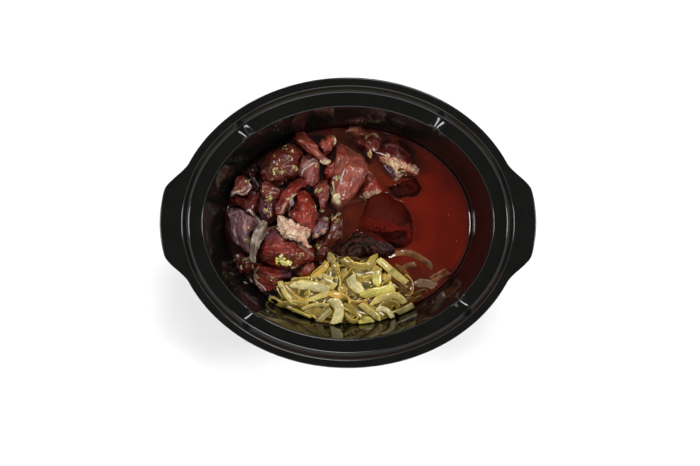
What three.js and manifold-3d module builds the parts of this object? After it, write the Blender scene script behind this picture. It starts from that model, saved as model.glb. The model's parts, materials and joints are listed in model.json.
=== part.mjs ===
// The makings of a lamb curry in an oval black stoneware slow-cooker crock.
//
// Raw lamb pieces are heaped along the left side, sliced softened onion lies in a heap at the front,
// tomato paste and dark curry paste sit in the middle, and thin red-brown sauce fills the rest.
// Frame: millimetres, +Z up, origin under the middle of the crock's foot, +X along the crock's length
// through its handles, +Y towards its back.
import * as THREE from "three";
import { mergeVertices } from "three/addons/utils/BufferGeometryUtils.js";
import Module from "manifold-3d";

const wasm = await Module();
wasm.setup();

// ---- Driving dimensions ----

const crockHeight = 150;
const rimHalfLength = 157.6; // the rim's oval without its handles
const rimHalfWidth = 131.2;
const handleReach = 12.4; // how far each handle stands out past the oval
const handleFullTo = 29; // half the handle's width at its full reach
const handleEndsAt = 54; // where the handle has run out into the rim
const wallThickness = 8.5;
const wallSlope = 0.157; // how far the inner wall draws in per millimetre down
const rimFlat = 7.6; // width of the rim's flat top beside the lid recess
const lidStep = 8.2; // depth of the recess that takes the lid
const ledgeInner = 25.4; // from the rim's outer edge to the inner edge of the lid's ledge
const floorHeight = 12; // the inside of the base
const footHeight = 2.5;
const sauceLevel = 72;
const gap = 0.5; // clearance between touching pieces

// ---- Small helpers ----

const degrees = THREE.MathUtils.degToRad;

// Repeatable random numbers from 0 to 1.
function randomSource(seed) {
  let state = (seed * 2654435761) % 4294967296;
  return () => {
    state = (state * 1664525 + 1013904223) % 4294967296;
    return state / 4294967296;
  };
}

function solidFrom(geometry) {
  const bare = geometry.clone();
  bare.deleteAttribute("normal");
  bare.deleteAttribute("uv");
  const merged = mergeVertices(bare, 1e-3);
  return new wasm.Manifold(
    new wasm.Mesh({
      numProp: 3,
      vertProperties: new Float32Array(merged.attributes.position.array),
      triVerts: new Uint32Array(merged.index.array),
    }),
  );
}

function geometryFrom(solid) {
  const mesh = solid.getMesh();
  const geometry = new THREE.BufferGeometry();
  geometry.setAttribute("position", new THREE.BufferAttribute(mesh.vertProperties, 3));
  geometry.setIndex(new THREE.BufferAttribute(mesh.triVerts, 1));
  return geometry;
}

// A cut can leave loose slivers: this keeps the largest body.
function largestBody(solid) {
  return solid.decompose().reduce((best, body) => (body.volume() > best.volume() ? body : best));
}

// ---- The crock's plan and profile ----

// Points on an arc in the profile's plane, as {inset, z}.
function arc(inset, z, radius, from, to, steps) {
  return Array.from({ length: steps + 1 }, (_, i) => {
    const angle = degrees(from + ((to - from) * i) / steps);
    return { inset: inset + radius * Math.cos(angle), z: z + radius * Math.sin(angle) };
  });
}

// One ring of the plan: the rim's oval drawn in by inset, with a share of the handles' reach.
// The spacing is closer at the handles, where the outline turns.
function planRing({ inset, z, handle = 0 }, segments) {
  const ring = [];
  for (let i = 0; i < segments; i++) {
    const even = (2 * Math.PI * i) / segments;
    const angle = even - 0.3 * Math.sin(2 * even);
    const y = (rimHalfWidth - inset) * Math.sin(angle);
    const fade = THREE.MathUtils.smoothstep(Math.abs(y), handleFullTo, handleEndsAt);
    const side = Math.sign(Math.cos(angle));
    const reach = side * handle * handleReach * (1 - fade) * (Math.abs(Math.cos(angle)) > 0.3 ? 1 : 0);
    ring.push(new THREE.Vector3((rimHalfLength - inset) * Math.cos(angle) + reach, y, z));
  }
  return ring;
}

// Closed surface through a row of rings, with a flat fan over the first and the last one.
function loft(stations, segments) {
  const points = stations.flatMap((station) => planRing(station, segments));
  const first = points.length;
  points.push(new THREE.Vector3(0, 0, stations[0].z));
  points.push(new THREE.Vector3(0, 0, stations[stations.length - 1].z));
  const faces = [];
  for (let ring = 0; ring < stations.length - 1; ring++) {
    for (let i = 0; i < segments; i++) {
      const next = (i + 1) % segments;
      const [a, b] = [ring * segments + i, ring * segments + next];
      const [c, d] = [a + segments, b + segments];
      faces.push(a, b, d, a, d, c);
    }
  }
  const lastRing = (stations.length - 1) * segments;
  for (let i = 0; i < segments; i++) {
    const next = (i + 1) % segments;
    faces.push(first, next, i);
    faces.push(first + 1, lastRing + i, lastRing + next);
  }
  const geometry = new THREE.BufferGeometry().setFromPoints(points);
  geometry.setIndex(faces);
  return geometry;
}

const ledgeHeight = crockHeight - lidStep;
const wallTop = { inset: ledgeInner + 1.1, z: ledgeHeight - 2.6 };
const cornerRadius = 26; // inside, between the wall and the floor

// How far the inner wall stands in from the rim's edge at a height above the corner.
const innerWall = (z) => wallTop.inset + (wallTop.z - z) * wallSlope;

// The inside of the crock from the floor's edge up to a height, drawn in by a clearance.
function insideStations(top, clearance) {
  const cornerZ = floorHeight + cornerRadius;
  const corner = arc(innerWall(cornerZ) + cornerRadius, cornerZ, cornerRadius, 270, 180, 2);
  const stations = corner.map(({ inset, z }) => ({ inset: inset + clearance, z: z + clearance }));
  stations.push({ inset: innerWall(top) + clearance, z: top });
  return stations;
}

// From the underside's recess, up the outside, over the rim and down the inside to the floor.
function crockStations() {
  const footInset = innerWall(floorHeight) + 2;
  const outerWall = (z) => innerWall(z) - wallThickness;
  const underRim = crockHeight - 12;
  const inside = insideStations(wallTop.z, 0).reverse();
  return [
    { inset: footInset + 13, z: footHeight },
    { inset: footInset + 11, z: 0 },
    { inset: footInset + 5, z: 0 },
    { inset: footInset - 4, z: 5 },
    { inset: outerWall(24), z: 24 },
    { inset: outerWall(underRim - 8), z: underRim - 8 },
    { inset: outerWall(underRim) - 3, z: underRim, handle: 0.1 },
    { inset: 4, z: underRim + 1.6, handle: 0.95 },
    { inset: 0.6, z: underRim + 3.4, handle: 1 },
    { inset: 0, z: crockHeight - 4.5, handle: 1 },
    { inset: 0.8, z: crockHeight - 1.2, handle: 1 },
    { inset: 2.8, z: crockHeight, handle: 1 },
    { inset: rimFlat - 0.6, z: crockHeight },
    { inset: rimFlat + 0.9, z: crockHeight - 1.3 },
    { inset: rimFlat + 4.6, z: ledgeHeight + 1.1 },
    { inset: rimFlat + 6.4, z: ledgeHeight },
    { inset: ledgeInner - 1.2, z: ledgeHeight - 0.5 },
    ...inside,
  ];
}

// Four low ribs lie across the ledge, at these places round the oval.
const ribAngles = [55, 132.5, 231, 318.5];
const ribSize = { along: 11, across: 6, high: 2.6 };

function lidRib(angle) {
  const middle = (rimFlat + 6.4 + ledgeInner) / 2 + 0.6;
  const x = (rimHalfLength - middle) * Math.cos(degrees(angle));
  const y = (rimHalfWidth - middle) * Math.sin(degrees(angle));
  const outward = Math.atan2(y / (rimHalfWidth - middle) ** 2, x / (rimHalfLength - middle) ** 2);
  const rib = new THREE.SphereGeometry(0.5, 6, 4);
  rib.rotateX(Math.PI / 2);
  rib.scale(ribSize.along, ribSize.across, ribSize.high);
  rib.rotateZ(outward);
  rib.translate(x, y, ledgeHeight - 0.2);
  return solidFrom(rib);
}

const crockSegments = 44;

function makeCrock() {
  return ribAngles.reduce(
    (crock, angle) => crock.add(lidRib(angle)),
    solidFrom(loft(crockStations(), crockSegments)),
  );
}

// ---- Food shapes ----

// A soft lump with knife-cut facets. It is a ball pressed against planes: three pairs give its
// length, width and thickness, and eight more trim its corners by shares drawn from its seed.
// Then it narrows towards one end, bends along its length, leans and turns into place.
// at is the middle of its top, and grow stands its whole surface out by a clearance.
function lump(piece, grow = 0) {
  const { at, size, turn = 0, lean = [0, 0], taper = 0, bend = 0, seed = 1, detail = 2, edge = 7 } = piece;
  const random = randomSource(seed);
  const half = new THREE.Vector3(...size).multiplyScalar(0.5);
  const planes = [];
  for (const sign of [1, -1]) {
    planes.push([new THREE.Vector3(sign, 0, 0), half.x]);
    planes.push([new THREE.Vector3(0, sign, 0), half.y]);
    planes.push([new THREE.Vector3(0, 0, sign), half.z]);
  }
  for (let corner = 0; corner < 8; corner++) {
    const direction = new THREE.Vector3(corner & 1 ? 1 : -1, corner & 2 ? 1 : -1, corner & 4 ? 1 : -1);
    direction.x += random() - 0.5;
    direction.y += random() - 0.5;
    direction.divide(half).normalize();
    const reach = Math.abs(direction.x) * half.x + Math.abs(direction.y) * half.y + Math.abs(direction.z) * half.z;
    planes.push([direction, reach * (0.6 + 0.3 * random())]);
  }
  const geometry = mergeVertices(bareBall(detail), 1e-4);
  const position = geometry.attributes.position;
  const point = new THREE.Vector3();
  const placing = new THREE.Matrix4()
    .makeRotationZ(degrees(turn))
    .premultiply(leaning(lean))
    .setPosition(at[0], at[1], at[2] - half.z);
  for (let i = 0; i < position.count; i++) {
    point.fromBufferAttribute(position, i);
    const direction = point.clone().multiply(half).normalize();
    const pressed = planes.reduce((sum, [normal, distance]) => {
      const share = Math.max(0, normal.dot(direction)) / (distance + grow);
      return sum + share ** edge;
    }, 0);
    point.copy(direction).multiplyScalar(pressed ** (-1 / edge));
    const along = point.x / half.x;
    point.y *= 1 - taper * along;
    point.z *= 1 - 0.5 * taper * along;
    if (bend) {
      const radius = size[0] / degrees(bend);
      const angle = point.x / radius;
      const out = radius + point.y;
      point.x = out * Math.sin(angle);
      point.y = out * Math.cos(angle) - radius + (radius * degrees(bend) ** 2) / 24;
    }
    point.applyMatrix4(placing);
    position.setXYZ(i, point.x, point.y, point.z);
  }
  return solidFrom(geometry);
}

// A ball of triangles, turned so that its six points fall on a lump's corners, not on its faces.
function bareBall(detail) {
  const ball = new THREE.OctahedronGeometry(1, detail);
  ball.deleteAttribute("normal");
  ball.deleteAttribute("uv");
  return ball.rotateX(degrees(40)).rotateZ(degrees(38));
}

// A lean tips a piece's top towards a compass direction, by an angle, in degrees.
function leaning([towards, angle]) {
  const axis = new THREE.Vector3(-Math.sin(degrees(towards)), Math.cos(degrees(towards)), 0);
  return new THREE.Matrix4().makeRotationAxis(axis, degrees(angle));
}

// ---- The lamb ----

// Highest first: each piece is pressed into by the ones listed before it.
// at is the middle of the top, size is length, width and thickness, turn is anticlockwise from +X.
const lambPieces = [
  { at: [-51, -4.5, 111], size: [33, 21, 17], turn: -20, lean: [250, 8], seed: 3, edge: 8 }, // mostly fat
  { at: [-42, 16, 108], size: [41, 32, 38], turn: -66, lean: [20, 6], taper: 0.08, seed: 11 },
  { at: [-87.5, -19, 105], size: [48, 9, 14], turn: 76, lean: [180, 14], taper: -0.12, seed: 29, bend: -26 }, // sinew
  { at: [-61, -27, 106], size: [66, 45, 42], turn: -12, lean: [265, 12], taper: 0.1, seed: 5, detail: 3 },
  { at: [-32.5, 71.5, 99], size: [43, 13, 20], turn: -40, lean: [130, 14], taper: 0.12, seed: 7 },
  { at: [-20, 75, 95], size: [27, 12, 20], turn: 60, lean: [70, 10], taper: -0.15, seed: 8 },
  { at: [1, 46.5, 104], size: [66, 34, 38], turn: 74, lean: [330, 8], taper: 0.14, seed: 21, bend: 14, detail: 3 },
  { at: [-56, 25.5, 103], size: [48, 10, 24], turn: 60, taper: -0.2, seed: 14, bend: 76, detail: 3 },
  { at: [-71, 31.5, 98], size: [30, 11, 18], turn: -16, seed: 19, bend: -50 },
  { at: [-64, 53.5, 101.5], size: [60, 43, 40], turn: 60, lean: [140, 9], taper: -0.08, seed: 17 },
  { at: [-102, -5.5, 99], size: [54, 38, 42], turn: -66, lean: [190, 9], taper: 0.08, seed: 23 },
  { at: [-25, 27, 98], size: [32, 19, 28], turn: 66, lean: [110, 12], taper: 0.22, seed: 31 },
  { at: [-37, 51, 97], size: [36, 22, 30], turn: -80, lean: [285, 10], taper: 0.05, seed: 37 },
  { at: [-73.5, 16, 97], size: [39, 27, 34], turn: 88, lean: [180, 8], taper: 0.1, seed: 41 },
  { at: [-101.5, 36, 98], size: [25, 21, 24], turn: 52, lean: [300, 12], taper: 0.25, seed: 43 },
  { at: [-74.5, -52, 95], size: [45, 32, 32], turn: 16, lean: [230, 10], taper: -0.06, seed: 47 },
  { at: [-24, -1, 94], size: [38, 18, 22], turn: 46, lean: [320, 10], taper: 0.08, seed: 53 },
  { at: [-41.5, -44, 93], size: [24, 19, 20], turn: 12, lean: [270, 10], seed: 59 },
  { at: [-95, 20.5, 92], size: [31, 28, 28], turn: -30, seed: 61 },
  { at: [-16, 50, 93], size: [30, 20, 26], turn: 64, seed: 67 },
  { at: [45.5, 63, 87], size: [50, 35, 26], turn: -32, lean: [60, 7], taper: -0.06, seed: 71 },
  { at: [21, 73, 88], size: [33, 26, 24], turn: -68, lean: [290, 8], taper: 0.15, seed: 73 },
  { at: [-99.5, -38, 87], size: [22, 18, 20], turn: 48, lean: [210, 10], seed: 79 },
  { at: [22, 38.5, 85], size: [37, 23, 22], turn: 74, lean: [320, 8], taper: -0.15, seed: 83 },
  { at: [-17.5, -11, 87], size: [30, 24, 22], turn: 60, seed: 89 },
  { at: [-27, -27, 86], size: [26, 22, 20], turn: 70, seed: 97 },
  { at: [6, 91, 80], size: [34, 9, 14], turn: -5, seed: 103 },
  { at: [-89, 42, 92], size: [31, 22, 26], turn: -60, seed: 109 },
];

// ---- The pastes ----

const tomatoPasteLobes = [
  { at: [36, 6, 90], size: [55, 52, 32], turn: -24, lean: [40, 14], seed: 107, edge: 9 },
  { at: [52, -13, 83], size: [32, 23, 20], turn: 50, lean: [300, 8], seed: 109, edge: 6 },
];
const tomatoDabLobes = [
  { at: [60, 36.5, 81], size: [26, 22, 18], turn: -36, seed: 113, edge: 5 },
  { at: [45, 32, 81], size: [24, 12, 16], turn: -14, seed: 127, edge: 5 },
];
const curryPasteLobes = [
  { at: [25, -20, 86], size: [48, 25, 24], turn: -14, lean: [80, 6], seed: 131, edge: 5 },
  { at: [2, -27, 87], size: [32, 24, 24], turn: 30, lean: [200, 8], seed: 137, edge: 5 },
];

// ---- The onions ----

// The heap is drawn as bundles of slices that run into each other.
const onionBundles = [
  { at: [-45, -69, 90], size: [66, 36, 28], turn: 2, seed: 139 },
  { at: [4, -76, 98], size: [84, 48, 36], turn: -4, seed: 149 },
  { at: [50, -62, 89], size: [44, 48, 28], turn: 40, seed: 157 },
  { at: [10, -45, 93], size: [78, 36, 30], turn: -8, seed: 163 },
];

// Slices that lie apart in the sauce: curved strips, each a stretch of an onion ring.
// at is the middle of the arc, and tip lifts the strip's end out of the sauce.
const looseOnions = [
  { at: [66, -37, 73.4], radius: 31, sweep: 88, turn: 62, width: 6.5, thick: 3.2 },
  { at: [58, -45, 73.2], radius: 26, sweep: 40, turn: 118, width: 6, thick: 3 },
  { at: [77.5, -66.5, 73], radius: 58, sweep: 26, turn: 86, width: 9, thick: 3.2 },
  { at: [94, -56, 74.6], radius: 40, sweep: 22, turn: 128, width: 8.5, thick: 3.2, tip: 14 },
];

// A strip of onion: a slab section swept along an arc.
function onionStrip({ at, radius, sweep, turn, width, thick, tip = 0 }, grow = 0) {
  const halfWidth = width / 2 + grow;
  const halfThick = thick / 2 + grow;
  const section = [
    [-halfWidth, -halfThick / 2],
    [-halfWidth * 0.8, -halfThick],
    [halfWidth * 0.8, -halfThick],
    [halfWidth, -halfThick / 2],
    [halfWidth, halfThick / 2],
    [halfWidth * 0.8, halfThick],
    [-halfWidth * 0.8, halfThick],
    [-halfWidth, halfThick / 2],
  ];
  const spin = degrees(sweep) + (2 * grow) / radius;
  const steps = Math.ceil(sweep / 14);
  const points = [];
  const faces = [];
  for (let step = 0; step <= steps; step++) {
    const angle = spin * (step / steps - 0.5);
    for (const [across, up] of section) {
      const reach = radius + across;
      points.push(new THREE.Vector3(reach * Math.cos(angle) - radius, reach * Math.sin(angle), up));
    }
  }
  const sides = section.length;
  for (let step = 0; step < steps; step++) {
    for (let i = 0; i < sides; i++) {
      const [a, b] = [step * sides + i, step * sides + ((i + 1) % sides)];
      faces.push(a, b + sides, b, a, a + sides, b + sides);
    }
  }
  for (let i = 1; i < sides - 1; i++) {
    faces.push(0, i, i + 1);
    faces.push(steps * sides, steps * sides + i + 1, steps * sides + i);
  }
  const geometry = new THREE.BufferGeometry().setFromPoints(points);
  geometry.setIndex(faces);
  geometry.rotateX(degrees(tip));
  geometry.rotateZ(degrees(turn));
  geometry.translate(...at);
  return solidFrom(geometry);
}

// ---- Putting it together ----

const glaze = new THREE.MeshStandardMaterial({ color: 0x121312, roughness: 0.08, metalness: 0 });
const rawLamb = new THREE.MeshStandardMaterial({ color: 0x7a3029, roughness: 0.35, metalness: 0 });
const lambFat = new THREE.MeshStandardMaterial({ color: 0xe3b8a2, roughness: 0.4, metalness: 0 });
const softOnion = new THREE.MeshStandardMaterial({ color: 0xb8b070, roughness: 0.3, metalness: 0 });
const tomatoPaste = new THREE.MeshStandardMaterial({ color: 0x5a140b, roughness: 0.4, metalness: 0 });
const curryPaste = new THREE.MeshStandardMaterial({ color: 0x24150f, roughness: 0.35, metalness: 0 });
const thinSauce = new THREE.MeshStandardMaterial({ color: 0x5c180d, roughness: 0.1, metalness: 0 });

const curry = new THREE.Group();
curry.name = "lamb_curry_in_crock";

function addNode(name, solid, material, parent) {
  const mesh = new THREE.Mesh(geometryFrom(solid), material);
  mesh.name = name;
  parent.add(mesh);
}

const joined = (lobes, grow) =>
  lobes.map((lobe) => lump(lobe, grow)).reduce((whole, lobe) => whole.add(lobe));

// All that lies in the crock, in the order in which it keeps its shape.
const contents = [
  ...lambPieces.map((piece, i) => ({
    name: `lamb_${String(i + 1).padStart(2, "0")}`,
    material: i === 0 ? lambFat : rawLamb,
    make: (grow) => lump(piece, grow),
  })),
  { name: "tomato_paste", material: tomatoPaste, make: (grow) => joined(tomatoPasteLobes, grow) },
  { name: "tomato_paste_dab", material: tomatoPaste, make: (grow) => joined(tomatoDabLobes, grow) },
  { name: "curry_paste", material: curryPaste, make: (grow) => joined(curryPasteLobes, grow) },
  ...looseOnions.map((strip, i) => ({
    name: `onion_slice_${i + 1}`,
    material: softOnion,
    make: (grow) => onionStrip(strip, grow),
  })),
  { name: "onion_heap", material: softOnion, make: (grow) => joined(onionBundles, grow) },
];

const roomInside = solidFrom(loft(insideStations(wallTop.z, gap), crockSegments));
let taken = null; // all the pieces placed so far, each with its clearance

addNode("crock", makeCrock(), glaze, curry);
for (const { name, material, make } of contents) {
  const whole = make(0).intersect(roomInside);
  addNode(name, largestBody(taken ? whole.subtract(taken) : whole), material, curry);
  taken = taken ? taken.add(make(gap)) : make(gap);
}
const saucePool = solidFrom(loft(insideStations(sauceLevel, gap), crockSegments));
addNode("sauce", largestBody(saucePool.subtract(taken)), thinSauce, curry);

export default curry;
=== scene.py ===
"""Looks for the makings of a lamb curry in an oval black stoneware pot.

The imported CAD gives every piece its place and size. This script remakes each one finely: the glazed
pot from its own profile, the lamb, pastes and onion from their CAD solids, and the sauce up to its level.
"""

import json
import math
import random

import bpy
import numpy as np
from mathutils import Matrix, Vector, noise
from mathutils.bvhtree import BVHTree

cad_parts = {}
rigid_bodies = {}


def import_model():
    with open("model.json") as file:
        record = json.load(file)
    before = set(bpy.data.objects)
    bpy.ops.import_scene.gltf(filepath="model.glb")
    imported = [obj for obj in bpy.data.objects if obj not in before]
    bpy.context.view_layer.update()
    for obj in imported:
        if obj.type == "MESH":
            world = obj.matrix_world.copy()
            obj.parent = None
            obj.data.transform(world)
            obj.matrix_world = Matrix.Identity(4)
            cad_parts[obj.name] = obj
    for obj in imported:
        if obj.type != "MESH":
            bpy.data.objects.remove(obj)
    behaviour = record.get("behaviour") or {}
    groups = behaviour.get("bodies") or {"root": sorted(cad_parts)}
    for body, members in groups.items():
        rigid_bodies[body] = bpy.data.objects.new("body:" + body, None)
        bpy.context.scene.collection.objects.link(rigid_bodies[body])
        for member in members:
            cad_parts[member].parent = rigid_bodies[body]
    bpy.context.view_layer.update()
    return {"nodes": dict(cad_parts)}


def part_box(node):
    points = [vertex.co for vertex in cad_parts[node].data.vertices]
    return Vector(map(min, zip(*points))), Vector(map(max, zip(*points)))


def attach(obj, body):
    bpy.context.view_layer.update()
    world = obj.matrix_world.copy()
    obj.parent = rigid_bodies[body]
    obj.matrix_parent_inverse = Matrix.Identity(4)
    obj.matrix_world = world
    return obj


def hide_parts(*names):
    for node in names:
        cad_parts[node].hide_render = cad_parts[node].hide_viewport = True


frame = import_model()

MM = 0.001
BODY = "root"


# ---- Colours and materials ----


def srgb(red, green, blue):
    """A display colour, 0 to 255, as linear light."""
    return tuple(
        c / 12.92 if c <= 0.04045 else ((c + 0.055) / 1.055) ** 2.4
        for c in (red / 255, green / 255, blue / 255)
    )


def new_material(name):
    material = bpy.data.materials.new(name)
    material.use_nodes = True
    nodes = material.node_tree.nodes
    return material, nodes, material.node_tree.links, nodes["Principled BSDF"]


def add_noise(nodes, links, scale, detail=4.0, roughness=0.55):
    """A noise texture in the shared frame: scale is in cells per metre."""
    place = nodes.new("ShaderNodeTexCoord")
    texture = nodes.new("ShaderNodeTexNoise")
    texture.inputs["Scale"].default_value = scale
    texture.inputs["Detail"].default_value = detail
    texture.inputs["Roughness"].default_value = roughness
    links.new(place.outputs["Object"], texture.inputs["Vector"])
    return texture.outputs["Fac"]


def add_bump(nodes, links, shader, height, strength, distance):
    bump = nodes.new("ShaderNodeBump")
    bump.inputs["Strength"].default_value = strength
    bump.inputs["Distance"].default_value = distance
    links.new(height, bump.inputs["Height"])
    links.new(bump.outputs["Normal"], shader.inputs["Normal"])


def add_ramp(nodes, links, value, stops):
    """Colours or greys along a value: stops are (position, colour) pairs."""
    ramp = nodes.new("ShaderNodeValToRGB")
    elements = ramp.color_ramp.elements
    while len(elements) < len(stops):
        elements.new(0.5)
    for element, (position, colour) in zip(elements, stops):
        element.position = position
        element.color = (*colour, 1) if isinstance(colour, tuple) else (colour, colour, colour, 1)
    links.new(value, ramp.inputs["Fac"])
    return ramp.outputs["Color"]


def multiply(nodes, links, first, second):
    mix = nodes.new("ShaderNodeMix")
    mix.data_type = "RGBA"
    mix.blend_type = "MULTIPLY"
    mix.inputs["Factor"].default_value = 1.0
    links.new(first, mix.inputs["A"])
    links.new(second, mix.inputs["B"])
    return mix.outputs["Result"]


def painted(nodes):
    """The colour painted on the mesh's own vertices."""
    attribute = nodes.new("ShaderNodeAttribute")
    attribute.attribute_name = "Paint"
    return attribute.outputs["Color"]


def glaze_material():
    material, nodes, links, shader = new_material("black_glaze")
    place = nodes.new("ShaderNodeTexCoord")
    split = nodes.new("ShaderNodeSeparateXYZ")
    links.new(place.outputs["Object"], split.inputs["Vector"])
    foot = nodes.new("ShaderNodeMapRange")
    foot.inputs["From Min"].default_value = 0.6 * MM
    foot.inputs["From Max"].default_value = 1.4 * MM
    links.new(split.outputs["Z"], foot.inputs["Value"])
    speckle = add_noise(nodes, links, 900, 2)
    clay = add_ramp(nodes, links, speckle, [(0.35, srgb(96, 88, 78)), (0.65, srgb(126, 117, 104))])
    cloud = add_noise(nodes, links, 60, 3)
    glaze = add_ramp(nodes, links, cloud, [(0.3, srgb(11, 11, 10)), (0.7, srgb(15, 15, 14))])
    mix = nodes.new("ShaderNodeMix")
    mix.data_type = "RGBA"
    links.new(foot.outputs["Result"], mix.inputs["Factor"])
    links.new(clay, mix.inputs["A"])
    links.new(glaze, mix.inputs["B"])
    links.new(mix.outputs["Result"], shader.inputs["Base Color"])
    rough = nodes.new("ShaderNodeMapRange")
    rough.inputs["To Min"].default_value = 0.8
    rough.inputs["To Max"].default_value = 0.1
    links.new(foot.outputs["Result"], rough.inputs["Value"])
    links.new(rough.outputs["Result"], shader.inputs["Roughness"])
    shader.inputs["Specular IOR Level"].default_value = 0.3
    add_bump(nodes, links, shader, add_noise(nodes, links, 140, 2), 0.05, 0.4 * MM)
    return material


def food_material(name, roughness, grain, bump, depth, tint, coat=0.0, subsurface=0.0, shine=0.5):
    """Food takes its colour from its painted vertices, varied by a fine grain, with a moist gloss."""
    material, nodes, links, shader = new_material(name)
    fine = add_noise(nodes, links, grain, 5, 0.62)
    shade = add_ramp(nodes, links, fine, [(0.3, tint[0]), (0.7, tint[1])])
    colour = multiply(nodes, links, painted(nodes), shade)
    links.new(colour, shader.inputs["Base Color"])
    patch = add_noise(nodes, links, grain * 0.35, 3)
    gloss = nodes.new("ShaderNodeMapRange")
    gloss.inputs["From Min"].default_value = 0.3
    gloss.inputs["From Max"].default_value = 0.7
    gloss.inputs["To Min"].default_value = roughness * 0.65
    gloss.inputs["To Max"].default_value = roughness * 1.35
    links.new(patch, gloss.inputs["Value"])
    links.new(gloss.outputs["Result"], shader.inputs["Roughness"])
    shader.inputs["Specular IOR Level"].default_value = shine
    shader.inputs["Coat Weight"].default_value = coat
    shader.inputs["Coat Roughness"].default_value = 0.08
    shader.inputs["Subsurface Weight"].default_value = subsurface
    shader.inputs["Subsurface Radius"].default_value = (1.0, 0.35, 0.25)
    shader.inputs["Subsurface Scale"].default_value = 3 * MM
    add_bump(nodes, links, shader, fine, bump, depth)
    return material


def sauce_material():
    material, nodes, links, shader = new_material("thin_sauce")
    haze = add_noise(nodes, links, 45, 4)
    shade = add_ramp(nodes, links, haze, [(0.3, 0.8), (0.7, 1.15)])
    links.new(multiply(nodes, links, painted(nodes), shade), shader.inputs["Base Color"])
    shader.inputs["Roughness"].default_value = 0.06
    shader.inputs["Subsurface Weight"].default_value = 0.15
    shader.inputs["Subsurface Radius"].default_value = (1.0, 0.3, 0.15)
    shader.inputs["Subsurface Scale"].default_value = 4 * MM
    add_bump(nodes, links, shader, add_noise(nodes, links, 110, 2), 0.03, 1 * MM)
    return material


# ---- Mesh helpers ----


def make_object(name, points, faces, material):
    mesh = bpy.data.meshes.new(name)
    mesh.from_pydata([tuple(p) for p in points], [], faces)
    mesh.update()
    return place_mesh(name, mesh, material)


def place_mesh(name, mesh, material):
    mesh.materials.clear()
    mesh.materials.append(material)
    mesh.shade_smooth()
    piece = bpy.data.objects.new(name, mesh)
    bpy.context.collection.objects.link(piece)
    return piece


def stands_for(piece, slot, *nodes):
    """Rides on the only body and stands for CAD nodes, which it hides; slot is not used."""
    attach(piece, BODY)
    if nodes:
        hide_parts(*nodes)
    return piece


def coordinates(mesh):
    points = np.empty(len(mesh.vertices) * 3)
    mesh.vertices.foreach_get("co", points)
    return points.reshape(-1, 3)


def normals(mesh):
    directions = np.empty(len(mesh.vertices) * 3)
    mesh.vertex_normals.foreach_get("vector", directions)
    return directions.reshape(-1, 3)


def move_to(mesh, points):
    mesh.vertices.foreach_set("co", np.asarray(points, float).ravel())
    mesh.update()


def paint(mesh, colours):
    """Stores a linear colour for each vertex."""
    layer = mesh.attributes.new("Paint", "FLOAT_COLOR", "POINT")
    layer.data.foreach_set("color", np.column_stack([colours, np.ones(len(colours))]).ravel())


def noise_at(points, size, seed=0, stretch=None):
    """Smooth noise from about -1 to 1 at each point, with lumps of a size in metres."""
    offset = Vector((seed * 7.31, seed * 3.17, seed * 5.73))
    scaled = points / size if stretch is None else points @ stretch / size
    return np.array([noise.noise(Vector(p) + offset) for p in scaled])


def soft_step(values, start, end):
    share = np.clip((values - start) / (end - start), 0, 1)
    return share * share * (3 - 2 * share)


def blend_colours(base, colour, share):
    return base + (np.array(colour) - base) * np.clip(share, 0, 1)[:, None]


def refined(node, voxel, smoothing, levels=2):
    """A fine copy of a CAD node's solid: subdivided, remeshed at a voxel size and smoothed."""
    source = frame["nodes"][node].data.copy()
    work = bpy.data.objects.new("work", source)
    bpy.context.collection.objects.link(work)
    weld = work.modifiers.new("weld", "WELD")
    weld.merge_threshold = 0.02 * MM
    rounding = work.modifiers.new("rounding", "SUBSURF")
    rounding.levels = levels
    remesh = work.modifiers.new("remesh", "REMESH")
    remesh.mode = "VOXEL"
    remesh.voxel_size = voxel
    relax = work.modifiers.new("relax", "SMOOTH")
    relax.factor = 0.5
    relax.iterations = smoothing
    bpy.context.view_layer.update()
    mesh = bpy.data.meshes.new_from_object(work.evaluated_get(bpy.context.evaluated_depsgraph_get()))
    bpy.data.objects.remove(work)
    return mesh


# ---- The pot ----

POT_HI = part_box("crock")[1]
POT_HEIGHT = POT_HI.z
RIM_HALF_WIDTH = POT_HI.y
HANDLE_REACH = 12.4 * MM
RIM_HALF_LENGTH = POT_HI.x - HANDLE_REACH
HANDLE_FULL_TO = 29 * MM
HANDLE_ENDS_AT = 54 * MM
WALL_SLOPE = 0.157
WALL_THICKNESS = 8.5 * MM
RIM_FLAT = 7.6 * MM
LID_STEP = 8.2 * MM
LEDGE_INNER = 25.4 * MM
FLOOR_HEIGHT = 12 * MM
FOOT_HEIGHT = 2.5 * MM
LEDGE_HEIGHT = POT_HEIGHT - LID_STEP
WALL_TOP = (LEDGE_INNER + 1.1 * MM, LEDGE_HEIGHT - 2.6 * MM)
RIB_ANGLES = (54, 132.7, 230.4, 318.4)
RIB_HEIGHT = 4.4 * MM
RIB_HALF_LENGTH = 4.8 * MM
RIB_HALF_WIDTH = 5.6 * MM
AROUND = 420


def inner_wall(z):
    """How far the inner wall stands in from the rim's edge at a height."""
    return WALL_TOP[0] + (WALL_TOP[1] - z) * WALL_SLOPE


def outer_wall(z):
    """How far the outer wall stands in from the rim's edge at a height."""
    return inner_wall(z) - WALL_THICKNESS


def plan_point(inset, handle, turn):
    """A point of the pot's plan: the rim's oval drawn in by inset, with a share of the handles' reach."""
    y = (RIM_HALF_WIDTH - inset) * math.sin(turn)
    fade = min(max((abs(y) - HANDLE_FULL_TO) / (HANDLE_ENDS_AT - HANDLE_FULL_TO), 0), 1)
    fade = fade * fade * (3 - 2 * fade)
    x = (RIM_HALF_LENGTH - inset) * math.cos(turn)
    if abs(math.cos(turn)) > 0.3:
        x += math.copysign(handle * HANDLE_REACH * (1 - fade), x)
    return x, y


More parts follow.
